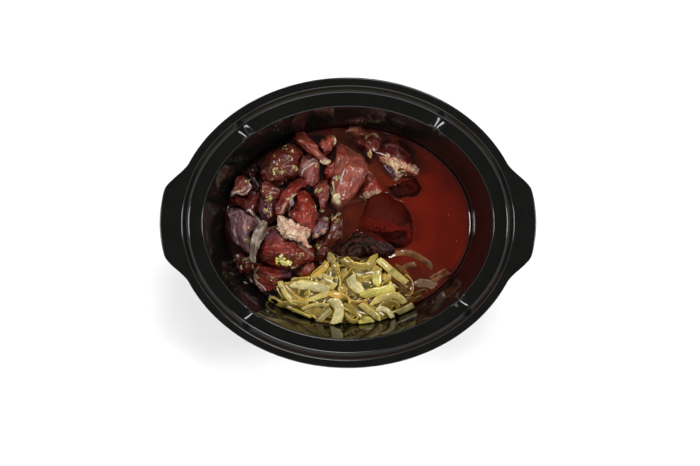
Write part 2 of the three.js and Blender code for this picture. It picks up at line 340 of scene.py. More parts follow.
def rounded_path(corners, steps=7):
    """A path through corners (inset, z, handle, radius), each one rounded by a curve."""
    path = [Vector(corners[0][:3])]
    for before, corner, after in zip(corners, corners[1:], corners[2:]):
        middle = Vector(corner[:3])
        back, ahead = Vector(before[:3]) - middle, Vector(after[:3]) - middle
        reach_back = min(corner[3], back.xy.length * 0.48) / back.xy.length
        reach_ahead = min(corner[3], ahead.xy.length * 0.48) / ahead.xy.length
        start, end = middle + back * reach_back, middle + ahead * reach_ahead
        for step in range(steps + 1):
            t = step / steps
            path.append(start * (1 - t) ** 2 + middle * 2 * t * (1 - t) + end * t**2)
    path.append(Vector(corners[-1][:3]))
    return path


def pot_profile():
    """From the underside, up the outside, over the rim and down the inside. Insets and heights in metres."""
    foot = inner_wall(FLOOR_HEIGHT) + 2 * MM
    under_rim = POT_HEIGHT - 11 * MM
    corners = [
        (foot + 40 * MM, FOOT_HEIGHT, 0, 0),
        (foot + 12.5 * MM, FOOT_HEIGHT, 0, 1 * MM),
        (foot + 11 * MM, 0, 0, 0.8 * MM),
        (foot + 5 * MM, 0, 0, 1.2 * MM),
        (foot + 3.5 * MM, 1.4 * MM, 0, 1 * MM),
        (foot - 5.5 * MM, 3 * MM, 0, 9 * MM),
        (outer_wall(40 * MM), 40 * MM, 0, 12 * MM),
        (outer_wall(under_rim), under_rim, 0, 5 * MM),
        (1.5 * MM, under_rim + 0.8 * MM, 1, 4 * MM),
        (0, POT_HEIGHT - 5 * MM, 1, 4 * MM),
        (0, POT_HEIGHT, 1, 2.2 * MM),
        (2.8 * MM, POT_HEIGHT, 1, 0.3 * MM),
        (RIM_FLAT, POT_HEIGHT, 0, 1.4 * MM),
        (RIM_FLAT + 5 * MM, LEDGE_HEIGHT, 0, 1.8 * MM),
        (LEDGE_INNER, LEDGE_HEIGHT - 0.5 * MM, 0, 1.7 * MM),
        (inner_wall(90 * MM), 90 * MM, 0, 20 * MM),
        (inner_wall(FLOOR_HEIGHT), FLOOR_HEIGHT, 0, 34 * MM),
        (inner_wall(FLOOR_HEIGHT) + 60 * MM, FLOOR_HEIGHT, 0, 0),
    ]
    return rounded_path(corners)


def rib_height(x, y, inset):
    """The four low ribs on the lid's ledge: how much they raise a point of it."""
    middle = LEDGE_INNER - 1.8 * MM
    total = 0.0
    for angle in RIB_ANGLES:
        centre_x = (RIM_HALF_LENGTH - middle) * math.cos(math.radians(angle))
        centre_y = (RIM_HALF_WIDTH - middle) * math.sin(math.radians(angle))
        across = abs(inset - middle)
        along = math.sqrt(max((x - centre_x) ** 2 + (y - centre_y) ** 2 - across**2, 0))
        fade = (along / RIB_HALF_LENGTH) ** 2.6 + (across / RIB_HALF_WIDTH) ** 3
        total += RIB_HEIGHT * math.exp(-fade)
    return total


def pot_turns():
    """The angles at which the pot is cut round: evenly, and closer together across each rib."""
    turns = []
    for i in range(AROUND):
        even = 2 * math.pi * i / AROUND
        turns.append((even - 0.3 * math.sin(2 * even)) % (2 * math.pi))
    for angle in RIB_ANGLES:
        turns = [turn for turn in turns if abs(math.degrees(turn) - angle) > 3]
        turns += [math.radians(angle + step * 0.2) for step in range(-15, 16)]
    return sorted(turns)


def make_pot(material):
    profile = pot_profile()
    turns = pot_turns()
    around = len(turns)
    points = []
    for inset, z, handle in profile:
        on_ledge = RIM_FLAT + 5 * MM < inset < inner_wall(100 * MM) and z > 120 * MM
        for turn in turns:
            x, y = plan_point(inset, handle, turn)
            points.append((x, y, z + (rib_height(x, y, inset) if on_ledge else 0)))
    faces = []
    for ring in range(len(profile) - 1):
        for i in range(around):
            a, b = ring * around + i, ring * around + (i + 1) % around
            faces.append((a, b, b + around, a + around))
    faces.append(tuple(reversed(range(around))))
    last = (len(profile) - 1) * around
    faces.append(tuple(range(last, last + around)))
    return stands_for(make_object("pot", points, faces, material), "black_glaze", "crock")


# ---- Stage: floor, light and camera ----

FLOOR_SIDE = 3.4
CAMERA_ABOVE_RIM = 0.9
CAMERA_OFFSET = (1.8 * MM, -9.2 * MM)
LENS = 51.4


def make_stage():
    material, nodes, links, shader = new_material("floor_white")
    fine = add_noise(nodes, links, 30, 2)
    links.new(add_ramp(nodes, links, fine, [(0.3, 0.86), (0.7, 0.88)]), shader.inputs["Base Color"])
    shader.inputs["Roughness"].default_value = 0.7
    half = FLOOR_SIDE / 2
    corners = [(-half, -half, 0), (half, -half, 0), (half, half, 0), (-half, half, 0)]
    make_object("floor", corners, [(0, 1, 2, 3)], material)


def make_world():
    """Dim overhead and paler towards the horizon, so that glaze and sauce stay dark from above."""
    world = bpy.data.worlds.new("studio")
    bpy.context.scene.world = world
    world.use_nodes = True
    nodes, links = world.node_tree.nodes, world.node_tree.links
    place = nodes.new("ShaderNodeTexCoord")
    split = nodes.new("ShaderNodeSeparateXYZ")
    links.new(place.outputs["Generated"], split.inputs["Vector"])
    sky = add_ramp(nodes, links, split.outputs["Z"], [(0.25, 1.0), (0.45, 0.12), (0.85, 0.04)])
    links.new(sky, nodes["Background"].inputs["Color"])
    nodes["Background"].inputs["Strength"].default_value = 2.6


def add_softbox(name, place, size, power):
    light = bpy.data.lights.new(name, "AREA")
    light.shape = "RECTANGLE"
    light.size, light.size_y = size
    light.energy = power
    lamp = bpy.data.objects.new(name, light)
    lamp.location = place
    aim = Vector((0, 0, 0.08)) - Vector(place)
    lamp.rotation_euler = aim.to_track_quat("-Z", "Y").to_euler()
    bpy.context.collection.objects.link(lamp)


def make_lights():
    add_softbox("right_softbox", (1.05, 0.0, 1.15), (0.3, 0.5), 12)
    add_softbox("left_softbox", (-1.05, 0.0, 1.15), (0.3, 0.5), 10)
    add_softbox("high_back_softbox", (0.25, 0.95, 1.9), (0.6, 0.5), 17)
    add_softbox("low_front_softbox", (-0.1, -1.5, 0.9), (1.6, 0.6), 10)


def make_camera():
    camera = bpy.data.cameras.new("camera")
    camera.lens = LENS
    holder = bpy.data.objects.new("camera", camera)
    holder.location = (*CAMERA_OFFSET, POT_HEIGHT + CAMERA_ABOVE_RIM)
    bpy.context.collection.objects.link(holder)
    bpy.context.scene.camera = holder


# ---- The sauce ----

SAUCE_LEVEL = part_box("sauce")[1].z
SAUCE_RED = srgb(104, 19, 4)
SAUCE_BROWN = srgb(74, 22, 7)
SAUCE_ORANGE = srgb(108, 48, 19)
SUNKEN_MEAT = srgb(90, 33, 14)
OIL_ORANGE = srgb(186, 84, 24)
OIL_EDGE = srgb(150, 50, 16)
BUBBLE_RIM = srgb(120, 40, 18)

# The pale edge of the meat that lies just under the sauce, in millimetres from the pot's middle.
SUNKEN_EDGE = [(-9.5, 12), (-6, 16.5), (0, 20), (8, 22.5), (16, 23.8)]


def on_sauce(x, y, rise=0):
    """A place over the pot in millimetres, with its rise over the sauce."""
    return Vector((x * MM, y * MM, SAUCE_LEVEL + rise * MM))


def make_sauce(material, solids):
    """The pool: rings from the middle out to a meniscus that climbs the wall, closed underneath."""
    rings, around = 112, 460
    edge = inner_wall(SAUCE_LEVEL) + 0.15 * MM
    semi = np.array([RIM_HALF_LENGTH - edge, RIM_HALF_WIDTH - edge])
    points = [(0, 0, SAUCE_LEVEL)]
    for ring in range(1, rings + 1):
        share = ring / rings
        from_wall = (1 - share) * semi.min()
        climb = 1.6 * MM * math.exp(-from_wall / (1.3 * MM))
        for i in range(around):
            turn = 2 * math.pi * i / around
            x, y = semi[0] * share * math.cos(turn), semi[1] * share * math.sin(turn)
            points.append((x, y, SAUCE_LEVEL + climb))
    for drop in (6 * MM, 30 * MM):
        inset = inner_wall(SAUCE_LEVEL - drop) + 0.3 * MM
        for i in range(around):
            turn = 2 * math.pi * i / around
            x = (RIM_HALF_LENGTH - inset) * math.cos(turn)
            points.append((x, (RIM_HALF_WIDTH - inset) * math.sin(turn), SAUCE_LEVEL - drop))
    faces = [(0, 1 + i, 1 + (i + 1) % around) for i in range(around)]
    for ring in range(rings + 1):
        for i in range(around):
            a, b = 1 + ring * around + i, 1 + ring * around + (i + 1) % around
            faces.append((a, a + around, b + around, b))
    last = 1 + (rings + 1) * around
    faces.append(tuple(reversed(range(last, last + around))))
    sauce = make_object("sauce_pool", points, faces, material)
    paint_sauce(sauce.data, solids)
    return stands_for(sauce, "thin_sauce", "sauce")


def soft_spot(points, x, y, wide, deep):
    """A patch that is 1 at a place and fades away over its width and depth, in millimetres."""
    across = (points[:, 0] - x * MM) / (wide * MM)
    along = (points[:, 1] - y * MM) / (deep * MM)
    return np.exp(-(across**2 + along**2))


def paint_sauce(mesh, solids):
    """Red at the right, brown by the meat, orange with oil at the front and back, raised round solids."""
    points = coordinates(mesh)
    colours = np.tile(np.array(SAUCE_RED), (len(points), 1))
    drift = noise_at(points, 22 * MM, 1) * 8 * MM
    brown = 1 / (1 + np.exp((points[:, 0] + drift - 26 * MM) / (5 * MM)))
    colours = blend_colours(colours, SAUCE_BROWN, brown * 0.9)
    front = soft_spot(points, 66, -62, 22, 20)
    colours = blend_colours(colours, SAUCE_ORANGE, front * (0.55 + 0.35 * noise_at(points, 9 * MM, 2)))
    back = soft_spot(points, 28, 68, 36, 24)
    colours = blend_colours(colours, SAUCE_ORANGE, back * (0.75 + 0.5 * noise_at(points, 8 * MM, 5)))
    under = soft_spot(points, 5, 8, 11, 11)
    colours = blend_colours(colours, SUNKEN_MEAT, under * (0.5 + 0.8 * noise_at(points, 7 * MM, 6)))
    skin = distance_to_path(points, [np.array(place) * MM for place in SUNKEN_EDGE]) / MM
    colours = blend_colours(colours, srgb(128, 72, 46), 0.55 * np.exp(-((skin / 0.9) ** 2)))
    # A painted reflection of the dark wall: the sauce darkens in a narrow band along it.
    edge = inner_wall(SAUCE_LEVEL)
    out = np.hypot(points[:, 0] / (RIM_HALF_LENGTH - edge), points[:, 1] / (RIM_HALF_WIDTH - edge))
    colours = blend_colours(colours, srgb(58, 16, 9), (out - 0.955) / 0.03 * 0.8)
    rising = np.array([solids.find_nearest(Vector(point))[3] for point in points])
    climb = np.exp(-rising / (0.9 * MM)) * (points[:, 2] > SAUCE_LEVEL - 1 * MM)
    points[:, 2] += 0.45 * MM * climb
    move_to(mesh, points)
    shaded = np.exp(-rising / (3.5 * MM)) * soft_step(-points[:, 0], -6 * MM, 12 * MM)
    colours = blend_colours(colours, srgb(24, 8, 6), shaded * 0.85)
    colours = blend_colours(colours, srgb(92, 42, 18), climb * 0.7)
    paint(mesh, colours)


# Orange specks on the sauce: x, y and radius. Rings left by bubbles: x, y, radius and thickness.
SPECKS = [
    (100, 40.6, 0.9), (98.5, 8.8, 0.9), (106, -17, 0.9), (87.2, 18.6, 0.5), (96, 33, 0.4),
    (84, -8, 0.4), (54, -40, 0.9), (82, 30, 0.35), (92, 45, 0.4), (103, 22, 0.35), (76, -4, 0.35),
    (60.5, 68, 0.8), (64, 65.5, 0.6), (72, -30, 0.4), (90, -24, 0.35), (109, 2, 0.35), (71, 12, 0.3),
    (99, -30, 0.4),
]
BUBBLES = [
    (76, 61.5, 3.1, 0.45), (73.7, -47, 1.5, 0.4), (83.6, -11, 2.2, 0.3), (81.5, 57, 1.2, 0.3),
]


def make_specks(material):
    """Drops of oil and the rings of burst bubbles on the sauce."""
    specks = []
    for x, y, radius in SPECKS:
        centre = on_sauce(x, y)
        path = [centre + Vector((step * radius * 0.8 * MM, 0, 0)) for step in (-1, -0.5, 0, 0.5, 1)]
        chance = random.Random(round(x * 7 + y))
        width = 1.5 * radius * MM
        specks.append(slice_mesh(path, width, 0, OIL_ORANGE, chance, OIL_EDGE, 0, 0.5 * MM))
    for x, y, radius, thick in BUBBLES:
        turns = [math.radians(step * 12) for step in range(31)]
        path = [on_sauce(x + radius * math.cos(turn), y + radius * math.sin(turn)) for turn in turns]
        chance = random.Random(round(x * 7 + y))
        width = 1.6 * thick * MM
        specks.append(slice_mesh(path, width, 0, BUBBLE_RIM, chance, BUBBLE_RIM, 0, 0.7 * MM))
    stands_for(join_slices("sauce_specks", specks, material), "thin_sauce")


# ---- The lamb ----

RED = srgb(128, 46, 36)
BRIGHT_RED = srgb(146, 52, 40)
DARK_RED = srgb(88, 32, 27)
# Near-black flesh is painted shade, for a piece lying deep in shadow.
PAINTED_SHADOW_FLESH = srgb(48, 18, 16)
BROWN_RED = srgb(104, 45, 32)
PINK = srgb(152, 88, 76)
PURPLE = srgb(112, 74, 86)
DEEP_PURPLE = srgb(84, 36, 42)
SILVER = srgb(138, 112, 126)
FAT = srgb(250, 206, 174)
CREAM = srgb(226, 204, 158)
SINEW = srgb(168, 160, 142)
MEMBRANE = srgb(196, 166, 152)

# For each piece of lamb: the colour of its flesh, then patches as (colour, places, width in mm, strength).
# A place is a share of the piece's box, from its left and from its front, and a patch follows its places.
LAMB_LOOKS = {
    "lamb_01": (
        FAT,
        [
            (CREAM, [(0.1, 0.5), (0.3, 0.2)], 3, 0.8),
            (srgb(214, 120, 96), [(0.45, 0.6), (0.8, 0.5)], 2, 0.7),
        ],
    ),
    "lamb_02": (
        BRIGHT_RED,
        [
            (DARK_RED, [(0.1, 0.5), (0.25, 0.1)], 7, 0.6),
            (FAT, [(0.12, 0.85), (0.02, 0.5)], 1.5, 0.7),
        ],
    ),
    "lamb_03": (
        srgb(158, 134, 114),
        [
            (SINEW, [(0.3, 0.9), (0.5, 0.4)], 3, 0.5),
        ],
    ),
    "lamb_04": (
        RED,
        [
            (PURPLE, [(0.1, 0.75), (0.4, 0.85), (0.8, 0.62)], 7, 0.65),
            (SINEW, [(0.02, 0.55), (0.12, 0.8), (0.2, 0.88)], 3, 0.8),
            (MEMBRANE, [(0.7, 0.66), (0.93, 0.38), (0.98, 0.3)], 1.5, 0.7),
            (BROWN_RED, [(0.2, 0.3), (0.7, 0.3)], 7, 0.6),
        ],
    ),
    "lamb_05": (
        srgb(150, 72, 58),
        [
            (FAT, [(0.85, 0.1), (1.0, 0.05)], 4, 0.95),
            (MEMBRANE, [(0.2, 0.7), (0.7, 0.3)], 1, 0.6),
        ],
    ),
    "lamb_06": (
        srgb(142, 68, 54),
        [
            (CREAM, [(0.85, 0.9), (0.95, 0.7)], 2.5, 0.8),
        ],
    ),
    "lamb_07": (
        PINK,
        [
            (RED, [(0.15, 0.95), (0.45, 0.85)], 9, 0.85),
            (CREAM, [(0.05, 0.3), (0.16, 0.12), (0.26, 0.08)], 3.5, 0.95),
            (MEMBRANE, [(0.05, 0.48), (0.25, 0.45), (0.35, 0.52)], 1, 0.8),
            (SILVER, [(0.5, 0.0), (0.7, 0.1)], 6, 0.6),
        ],
    ),
    "lamb_08": (
        RED,
        [
            (FAT, [(0.2, 0.1), (0.35, 0.3)], 2, 0.7),
            (DARK_RED, [(0.7, 0.9), (0.9, 0.95)], 4, 0.6),
        ],
    ),
    "lamb_09": (
        BROWN_RED,
        [
            (RED, [(0.2, 0.4), (0.8, 0.3)], 3, 0.8),
        ],
    ),
    "lamb_10": (
        srgb(98, 42, 32),
        [
            (srgb(92, 58, 34), [(0.2, 0.5), (0.35, 0.35)], 8, 0.7),
            (srgb(104, 84, 46), [(0.55, 0.95), (0.4, 0.85)], 3, 0.7),
            (RED, [(0.75, 0.8), (0.9, 0.6)], 7, 0.5),
        ],
    ),
    "lamb_11": (
        srgb(158, 128, 138),
        [
            (BROWN_RED, [(0.0, 0.88), (0.3, 1.0), (0.7, 1.0)], 7, 0.9),
            (MEMBRANE, [(0.1, 0.78), (0.4, 0.88), (0.75, 0.86), (1.0, 0.6)], 1.6, 0.95),
            (PURPLE, [(0.3, 0.4), (0.6, 0.2)], 10, 0.5),
            (srgb(196, 176, 186), [(0.35, 0.75), (0.3, 0.5), (0.38, 0.25)], 1.2, 0.7),
            (srgb(190, 170, 182), [(0.6, 0.75), (0.62, 0.5), (0.55, 0.3)], 1, 0.6),
        ],
    ),
    "lamb_12": (
        srgb(142, 78, 76),
        [
            (RED, [(0.3, 0.95), (0.9, 0.9)], 4, 0.7),
            (MEMBRANE, [(0.3, 0.1), (0.7, 0.0)], 1.5, 0.6),
        ],
    ),
    "lamb_13": (
        srgb(140, 84, 82),
        [
            (DARK_RED, [(0.2, 0.95), (0.8, 0.9)], 10, 0.85),
            (MEMBRANE, [(0.1, 0.5), (0.5, 0.72), (0.8, 0.85)], 1.2, 0.95),
        ],
    ),
    "lamb_14": (
        DEEP_PURPLE,
        [
            (PURPLE, [(0.1, 0.8), (0.1, 0.3)], 5, 0.7),
            (BROWN_RED, [(0.7, 0.4)], 8, 0.5),
        ],
    ),
    "lamb_15": (
        srgb(122, 54, 36),
        [
            (MEMBRANE, [(0.05, 0.15), (0.5, 0.25), (0.85, 0.5), (0.8, 0.8)], 1.8, 0.95),
        ],
    ),
    "lamb_16": (
        srgb(130, 52, 42),
        [
            (MEMBRANE, [(0.08, 0.75), (0.06, 0.4), (0.3, 0.08)], 1.4, 0.9),
            (PURPLE, [(0.7, 0.8), (0.9, 0.5)], 9, 0.8),
        ],
    ),
    "lamb_17": (
        PURPLE,
        [
            (SILVER, [(0.2, 0.2), (0.6, 0.6)], 3, 0.8),
            (CREAM, [(0.8, 0.85), (0.98, 0.98)], 3.5, 0.85),
        ],
    ),
    "lamb_18": (
        srgb(138, 70, 42),
        [
            (PINK, [(0.4, 0.6), (0.8, 0.6)], 3, 0.6),
        ],
    ),
    "lamb_19": (
        srgb(100, 38, 29),
        [
            (RED, [(0.7, 0.4)], 6, 0.5),
        ],
    ),
    "lamb_20": (srgb(140, 42, 27), []),
    "lamb_21": (
        srgb(94, 32, 34),
        [
            (srgb(226, 150, 124), [(0.22, 0.52), (0.45, 0.42), (0.7, 0.3), (0.95, 0.18)], 4, 0.9),
            (PURPLE, [(0.25, 0.3), (0.5, 0.1)], 5, 0.7),
            (FAT, [(0.5, 0.02), (0.6, 0.12)], 3, 0.85),
        ],
    ),
    "lamb_22": (
        srgb(98, 36, 30),
        [
            (srgb(140, 110, 62), [(0.3, 0.9), (0.9, 0.95)], 2.5, 0.6),
        ],
    ),
    "lamb_23": (
        DARK_RED,
        [
            (CREAM, [(0.0, 0.5), (0.2, 0.8)], 2, 0.8),
        ],
    ),
    "lamb_24": (
        srgb(150, 58, 40),
        [
            (CREAM, [(0.0, 0.1), (0.3, 0.15), (0.75, 0.3)], 4, 0.9),
            (MEMBRANE, [(0.3, 0.9), (0.5, 0.6)], 1.2, 0.6),
        ],
    ),
    "lamb_25": (
        srgb(104, 50, 34),
        [
            (RED, [(0.5, 0.5)], 5, 0.5),
        ],
    ),
    "lamb_26": (srgb(92, 44, 28), []),
    "lamb_27": (
        srgb(124, 68, 46),
        [
            (MEMBRANE, [(0.05, 0.5), (0.4, 0.7)], 1.5, 0.7),
        ],
    ),
    # lamb_28 lies in shadow between its neighbours: its near-black flesh is painted shade.
    "lamb_28": (PAINTED_SHADOW_FLESH, []),
}
LAMB_VOXEL = 0.9 * MM
LAMB_SWELL = 1.8 * MM
OUTLINE_GROWTH = 2.3 * MM
FLESH_WARMTH = np.array((1.18, 0.86, 0.72))
PALE_PIECES = ("lamb_01", "lamb_03")

# The uneven outline of the bigger pieces as seen from above, in millimetres from the pot's middle.
# A helper script printed these, all but lamb_25's, from places read off the photograph. That isn't how
# a table here should be made, and report.md says what would replace it.
OUTLINES = {
    "lamb_01": [
        (-65, 7), (-61, 5), (-56, 3), (-49, 0), (-45, -3), (-41, -3), (-37, -6),
        (-39, -11), (-40, -15), (-39, -19), (-47, -15), (-52, -14), (-59, -13), (-63, -9),
        (-66, -6), (-66, 0)
    ],
    "lamb_02": [
        (-49, 30), (-43, 30), (-37, 26), (-33, 20), (-31, 9), (-33, -2), (-37, -10),
        (-44, -13), (-52, -5), (-55, 1), (-55, 9), (-50, 18), (-50, 25)
    ],
    "lamb_03": [
        (-82, 2), (-77, 0), (-79, -6), (-83, -13), (-85, -20), (-87, -28), (-89, -33),
        (-90, -39), (-92, -36), (-91, -26), (-90, -19), (-88, -11), (-84, -3)
    ],
    "lamb_04": [
        (-77, -7), (-68, -5), (-58, -12), (-47, -15), (-39, -20), (-33, -28), (-34, -35),
        (-41, -38), (-49, -41), (-60, -42), (-73, -39), (-84, -36), (-87, -31), (-86, -24),
        (-83, -17), (-80, -11)
    ],
    "lamb_05": [
        (-53, 82), (-49, 86), (-42, 87), (-38, 82), (-32, 75), (-28, 69), (-23, 65),
        (-19, 61), (-20, 59), (-24, 58), (-28, 61), (-33, 64), (-37, 69), (-41, 73),
        (-45, 76), (-49, 78)
    ],
    "lamb_06": [
        (-20, 85), (-15, 84), (-13, 81), (-13, 77), (-16, 74), (-19, 70), (-22, 68),
        (-22, 65), (-25, 65), (-29, 72), (-26, 77), (-22, 81)
    ],
    "lamb_07": [
        (-8, 76), (2, 71), (12, 64), (17, 58), (17, 50), (12, 37), (8, 31), (-5, 18),
        (-11, 15), (-17, 20), (-16, 39), (-12, 46), (-11, 61), (-11, 73)
    ],
    "lamb_10": [
        (-56, 77), (-50, 76), (-45, 72), (-44, 66), (-48, 60), (-47, 54), (-47, 49),
        (-53, 44), (-59, 42), (-63, 37), (-71, 35), (-79, 36), (-83, 42), (-84, 49),
        (-83, 56), (-78, 64), (-71, 70), (-61, 74)
    ],
    "lamb_11": [
        (-119, 12), (-110, 16), (-98, 15), (-93, 11), (-89, 6), (-85, 0), (-87, -5),
        (-90, -11), (-92, -20), (-93, -29), (-98, -29), (-107, -23), (-113, -15),
        (-115, -5), (-117, 5)
    ],
    "lamb_12": [
        (-21, 40), (-19, 34), (-20, 26), (-23, 17), (-27, 13), (-29, 17), (-31, 25),
        (-33, 29), (-31, 35), (-25, 39)
    ],
    "lamb_13": [
        (-39, 66), (-33, 63), (-29, 59), (-29, 52), (-29, 45), (-29, 39), (-35, 36),
        (-40, 37), (-44, 42), (-46, 46), (-48, 49), (-49, 55), (-47, 61), (-43, 65)
    ],
    "lamb_14": [
        (-83, 33), (-79, 30), (-71, 29), (-64, 29), (-63, 20), (-66, 9), (-71, -1),
        (-78, -4), (-82, 2), (-84, 14), (-84, 25)
    ],
    "lamb_15": [
        (-102, 45), (-99, 42), (-97, 38), (-93, 37), (-94, 33), (-98, 29), (-102, 28),
        (-107, 30), (-112, 26), (-110, 32), (-108, 38), (-106, 43)
    ],
    "lamb_16": [
        (-89, -40), (-80, -37), (-69, -39), (-60, -43), (-54, -47), (-55, -53), (-64, -54),
        (-71, -61), (-79, -65), (-83, -65), (-91, -58), (-92, -51), (-91, -45)
    ],
    "lamb_17": [
        (-30, 3), (-24, 6), (-20, 4), (-21, -5), (-24, -8), (-33, -14), (-35, -9),
        (-34, -4)
    ],
    "lamb_18": [
        (-49, -43), (-43, -39), (-35, -38), (-33, -44), (-37, -49), (-44, -50), (-47, -47)
    ],
    "lamb_20": [
        (-13, 61), (-10, 55), (-11, 50), (-14, 45), (-16, 42), (-20, 41), (-22, 46),
        (-22, 52), (-19, 57)
    ],
    "lamb_21": [
        (30, 75), (40, 79), (48, 80), (54, 75), (59, 69), (62, 62), (66, 54), (67, 48),
        (60, 47), (51, 46), (46, 44), (41, 48), (36, 55), (32, 61), (27, 66), (25, 70)
    ],
    "lamb_22": [
        (9, 81), (17, 83), (27, 87), (32, 85), (30, 78), (27, 72), (23, 66), (24, 61),
        (19, 61), (16, 68), (12, 74), (9, 78)
    ],
    "lamb_24": [
        (19, 51), (23, 47), (25, 41), (28, 37), (32, 33), (29, 30), (24, 29), (19, 24),
        (12, 26), (11, 30), (14, 37), (17, 44)
    ],
    "lamb_25": [
        (-13, 15), (-8, 7), (-6, -3), (-7, -12), (-11, -17), (-21, -23), (-29, -25), (-30, -18),
        (-24, -11), (-19, -2), (-17, 8)
    ],
    "lamb_27": [
        (-2, 91), (4, 94), (12, 93), (18, 89), (27, 88), (25, 85), (17, 83), (9, 85),
        (1, 88)
    ],
    "tomato_paste": [
        (23, 27), (30, 29), (39, 31), (45, 24), (54, 20), (61, 11), (63, 1), (64, -8),
        (62, -17), (55, -24), (46, -24), (39, -17), (30, -10), (16, -7), (11, -3), (10, 3),
        (14, 11), (18, 20)
    ],
    "tomato_paste_dab": [
        (51, 43), (57, 45), (65, 45), (69, 41), (72, 35), (70, 30), (64, 26), (57, 27),
        (51, 24), (45, 27), (40, 32), (41, 36), (46, 38)
    ],
}


def fit_outline(points, outline, grow=0.0):
    """Draws a solid in or out sideways until it fills an outline seen from above."""
    corners = np.array(outline) * MM
    ends = np.roll(corners, -1, 0)
    area = corners[:, 0] * ends[:, 1] - ends[:, 0] * corners[:, 1]
    centre = ((corners + ends) * area[:, None]).sum(0) / (3 * area.sum())
    sides = [a + (b - a) * np.linspace(0, 1, 30)[:, None] for a, b in zip(corners, ends)]
    border = np.concatenate(sides) - centre
    wanted_turn = np.arctan2(border[:, 1], border[:, 0])
    order = np.argsort(wanted_turn)
    wanted = np.hypot(border[:, 0], border[:, 1])[order]
    from_centre = points[:, :2] - centre
    turn = np.arctan2(from_centre[:, 1], from_centre[:, 0])
    reach = np.hypot(from_centre[:, 0], from_centre[:, 1])
    bins = 48
    slot = ((turn + math.pi) / math.tau * bins).astype(int) % bins
    widest = np.array([reach[slot == k].max() if (slot == k).any() else np.nan for k in range(bins)])
    widest = np.where(np.isnan(widest), np.nanmean(widest), widest)
    middles = (np.arange(bins) + 0.5) / bins * math.tau - math.pi
    present = np.interp(turn, middles, widest, period=math.tau)
    target = np.interp(turn, wanted_turn[order], wanted, period=math.tau) + grow
    fitted = points.copy()
    fitted[:, :2] = centre + from_centre * np.clip(target / present, 0.5, 1.9)[:, None]
    return fitted


def long_axis(points):
    """The direction in which a set of points spreads most."""
    spread = np.cov((points - points.mean(0)).T)
    return np.linalg.eigh(spread)[1][:, -1]


def distance_to_path(points, path):
    """How far each point lies from a path, seen from above."""
    best = np.full(len(points), 1.0)
    for start, end in zip(path, path[1:] or path):
        step = end - start
        length = max(step @ step, 1e-12)
        share = np.clip((points[:, :2] - start) @ step / length, 0, 1)
        best = np.minimum(best, np.linalg.norm(points[:, :2] - start - share[:, None] * step, axis=1))
    return best


def creases(points, size, seed, stretch=None):
    """Rounded bundles parted by sharp valleys, from -1 in a valley to about 1 on a bundle."""
    return 3.2 * np.abs(noise_at(points, size, seed, stretch)) - 1


def cut_flats(points, seed, count=7):
    """Slices flat faces off a piece, as a knife does."""
    chance = random.Random(seed)
    middle = points.mean(0)
    for _ in range(count):
        direction = Vector((chance.gauss(0, 1), chance.gauss(0, 1), chance.uniform(0.3, 1.6))).normalized()
        depth = (points - middle) @ np.array(direction)
        over = np.clip(depth - depth.max() * chance.uniform(0.72, 0.9), 0, None)
        points = points - 0.9 * over[:, None] * np.array(direction)
    return points


def warp(points, size, amount, seed):
    """Pushes points about sideways as well as up and down, with lumps of a size in metres."""
    shifts = [noise_at(points, size, seed + 40 * axis) for axis in (1, 2, 3)]
    return points + amount * np.column_stack(shifts)


def shape_lamb(mesh, node, seed):
    """Muscle: an uneven lump with knife-cut faces, soft bundles and fibres. Fat is knobbly instead."""
    points, directions = coordinates(mesh), normals(mesh)
    knobbly = node == "lamb_01"
    along_grain = np.eye(3) - (0.3 if knobbly else 0.75) * np.outer(long_axis(points), long_axis(points))
    points = points + directions * LAMB_SWELL
    points = cut_flats(warp(points, 19 * MM, 3.5 * MM, seed), seed)
    if node in OUTLINES:
        points = fit_outline(points, OUTLINES[node], OUTLINE_GROWTH)
    points = warp(points, 6 * MM, 1.1 * MM, seed + 3)
    rise = (1.8 if knobbly else 0.5) * MM * creases(points, 5.5 * MM, seed + 1, along_grain)
    rise += (1.1 if knobbly else 0.36) * MM * creases(points, 2.4 * MM, seed + 2, along_grain)
    move_to(mesh, points + directions * rise[:, None])
    return along_grain


def paint_lamb(mesh, node, seed, along_grain):
    """Flesh with its grain and marbling, the piece's own patches, and painted shade where it faces down.
    Pale patches stand a little proud.
    """
    flesh, patches = LAMB_LOOKS[node]
    points, directions = coordinates(mesh), normals(mesh)
    flesh = np.array(flesh) * (1 if node in PALE_PIECES else FLESH_WARMTH)
    corner = points[:, :2].min(0)
    size = points[:, :2].max(0) - corner
    colours = np.tile(flesh, (len(points), 1))
    cloud = noise_at(points, 9 * MM, seed + 3)
    fibre = noise_at(points, 1.7 * MM, seed + 4, along_grain)
    colours *= (1 + 0.5 * cloud + 0.55 * fibre)[:, None]
    marbling = 1 - np.abs(noise_at(points, 6 * MM, seed + 6, along_grain)) / 0.04
    colours = blend_colours(colours, MEMBRANE, np.clip(marbling, 0, 1) * 0.5)
    wobble = 1.8 * MM * noise_at(points, 3.5 * MM, seed + 5)
    wobble += 0.8 * MM * noise_at(points, 1.5 * MM, seed + 7)
    lumps = noise_at(points, 2.6 * MM, seed + 8)
    proud = np.zeros(len(points))
    for colour, places, width, strength in patches:
        path = [corner + size * np.array(place) for place in places]
        near = distance_to_path(points, path) + wobble - width * MM / 2
        share = strength / (1 + np.exp(near / (0.3 * MM)))
        colours = blend_colours(colours, np.array(colour), share)
        if min(colour) > 0.25:
            proud = np.maximum(proud, share)
    move_to(mesh, points + directions * (proud * (0.5 + 0.9 * lumps) * MM)[:, None])
    # Painted shade: the flesh is darker where its surface faces sideways or down.
    hollow = np.clip(0.72 + 0.5 * directions[:, 2], 0.3, 1)
    paint(mesh, np.clip(colours * hollow[:, None], 0.003, 0.95))


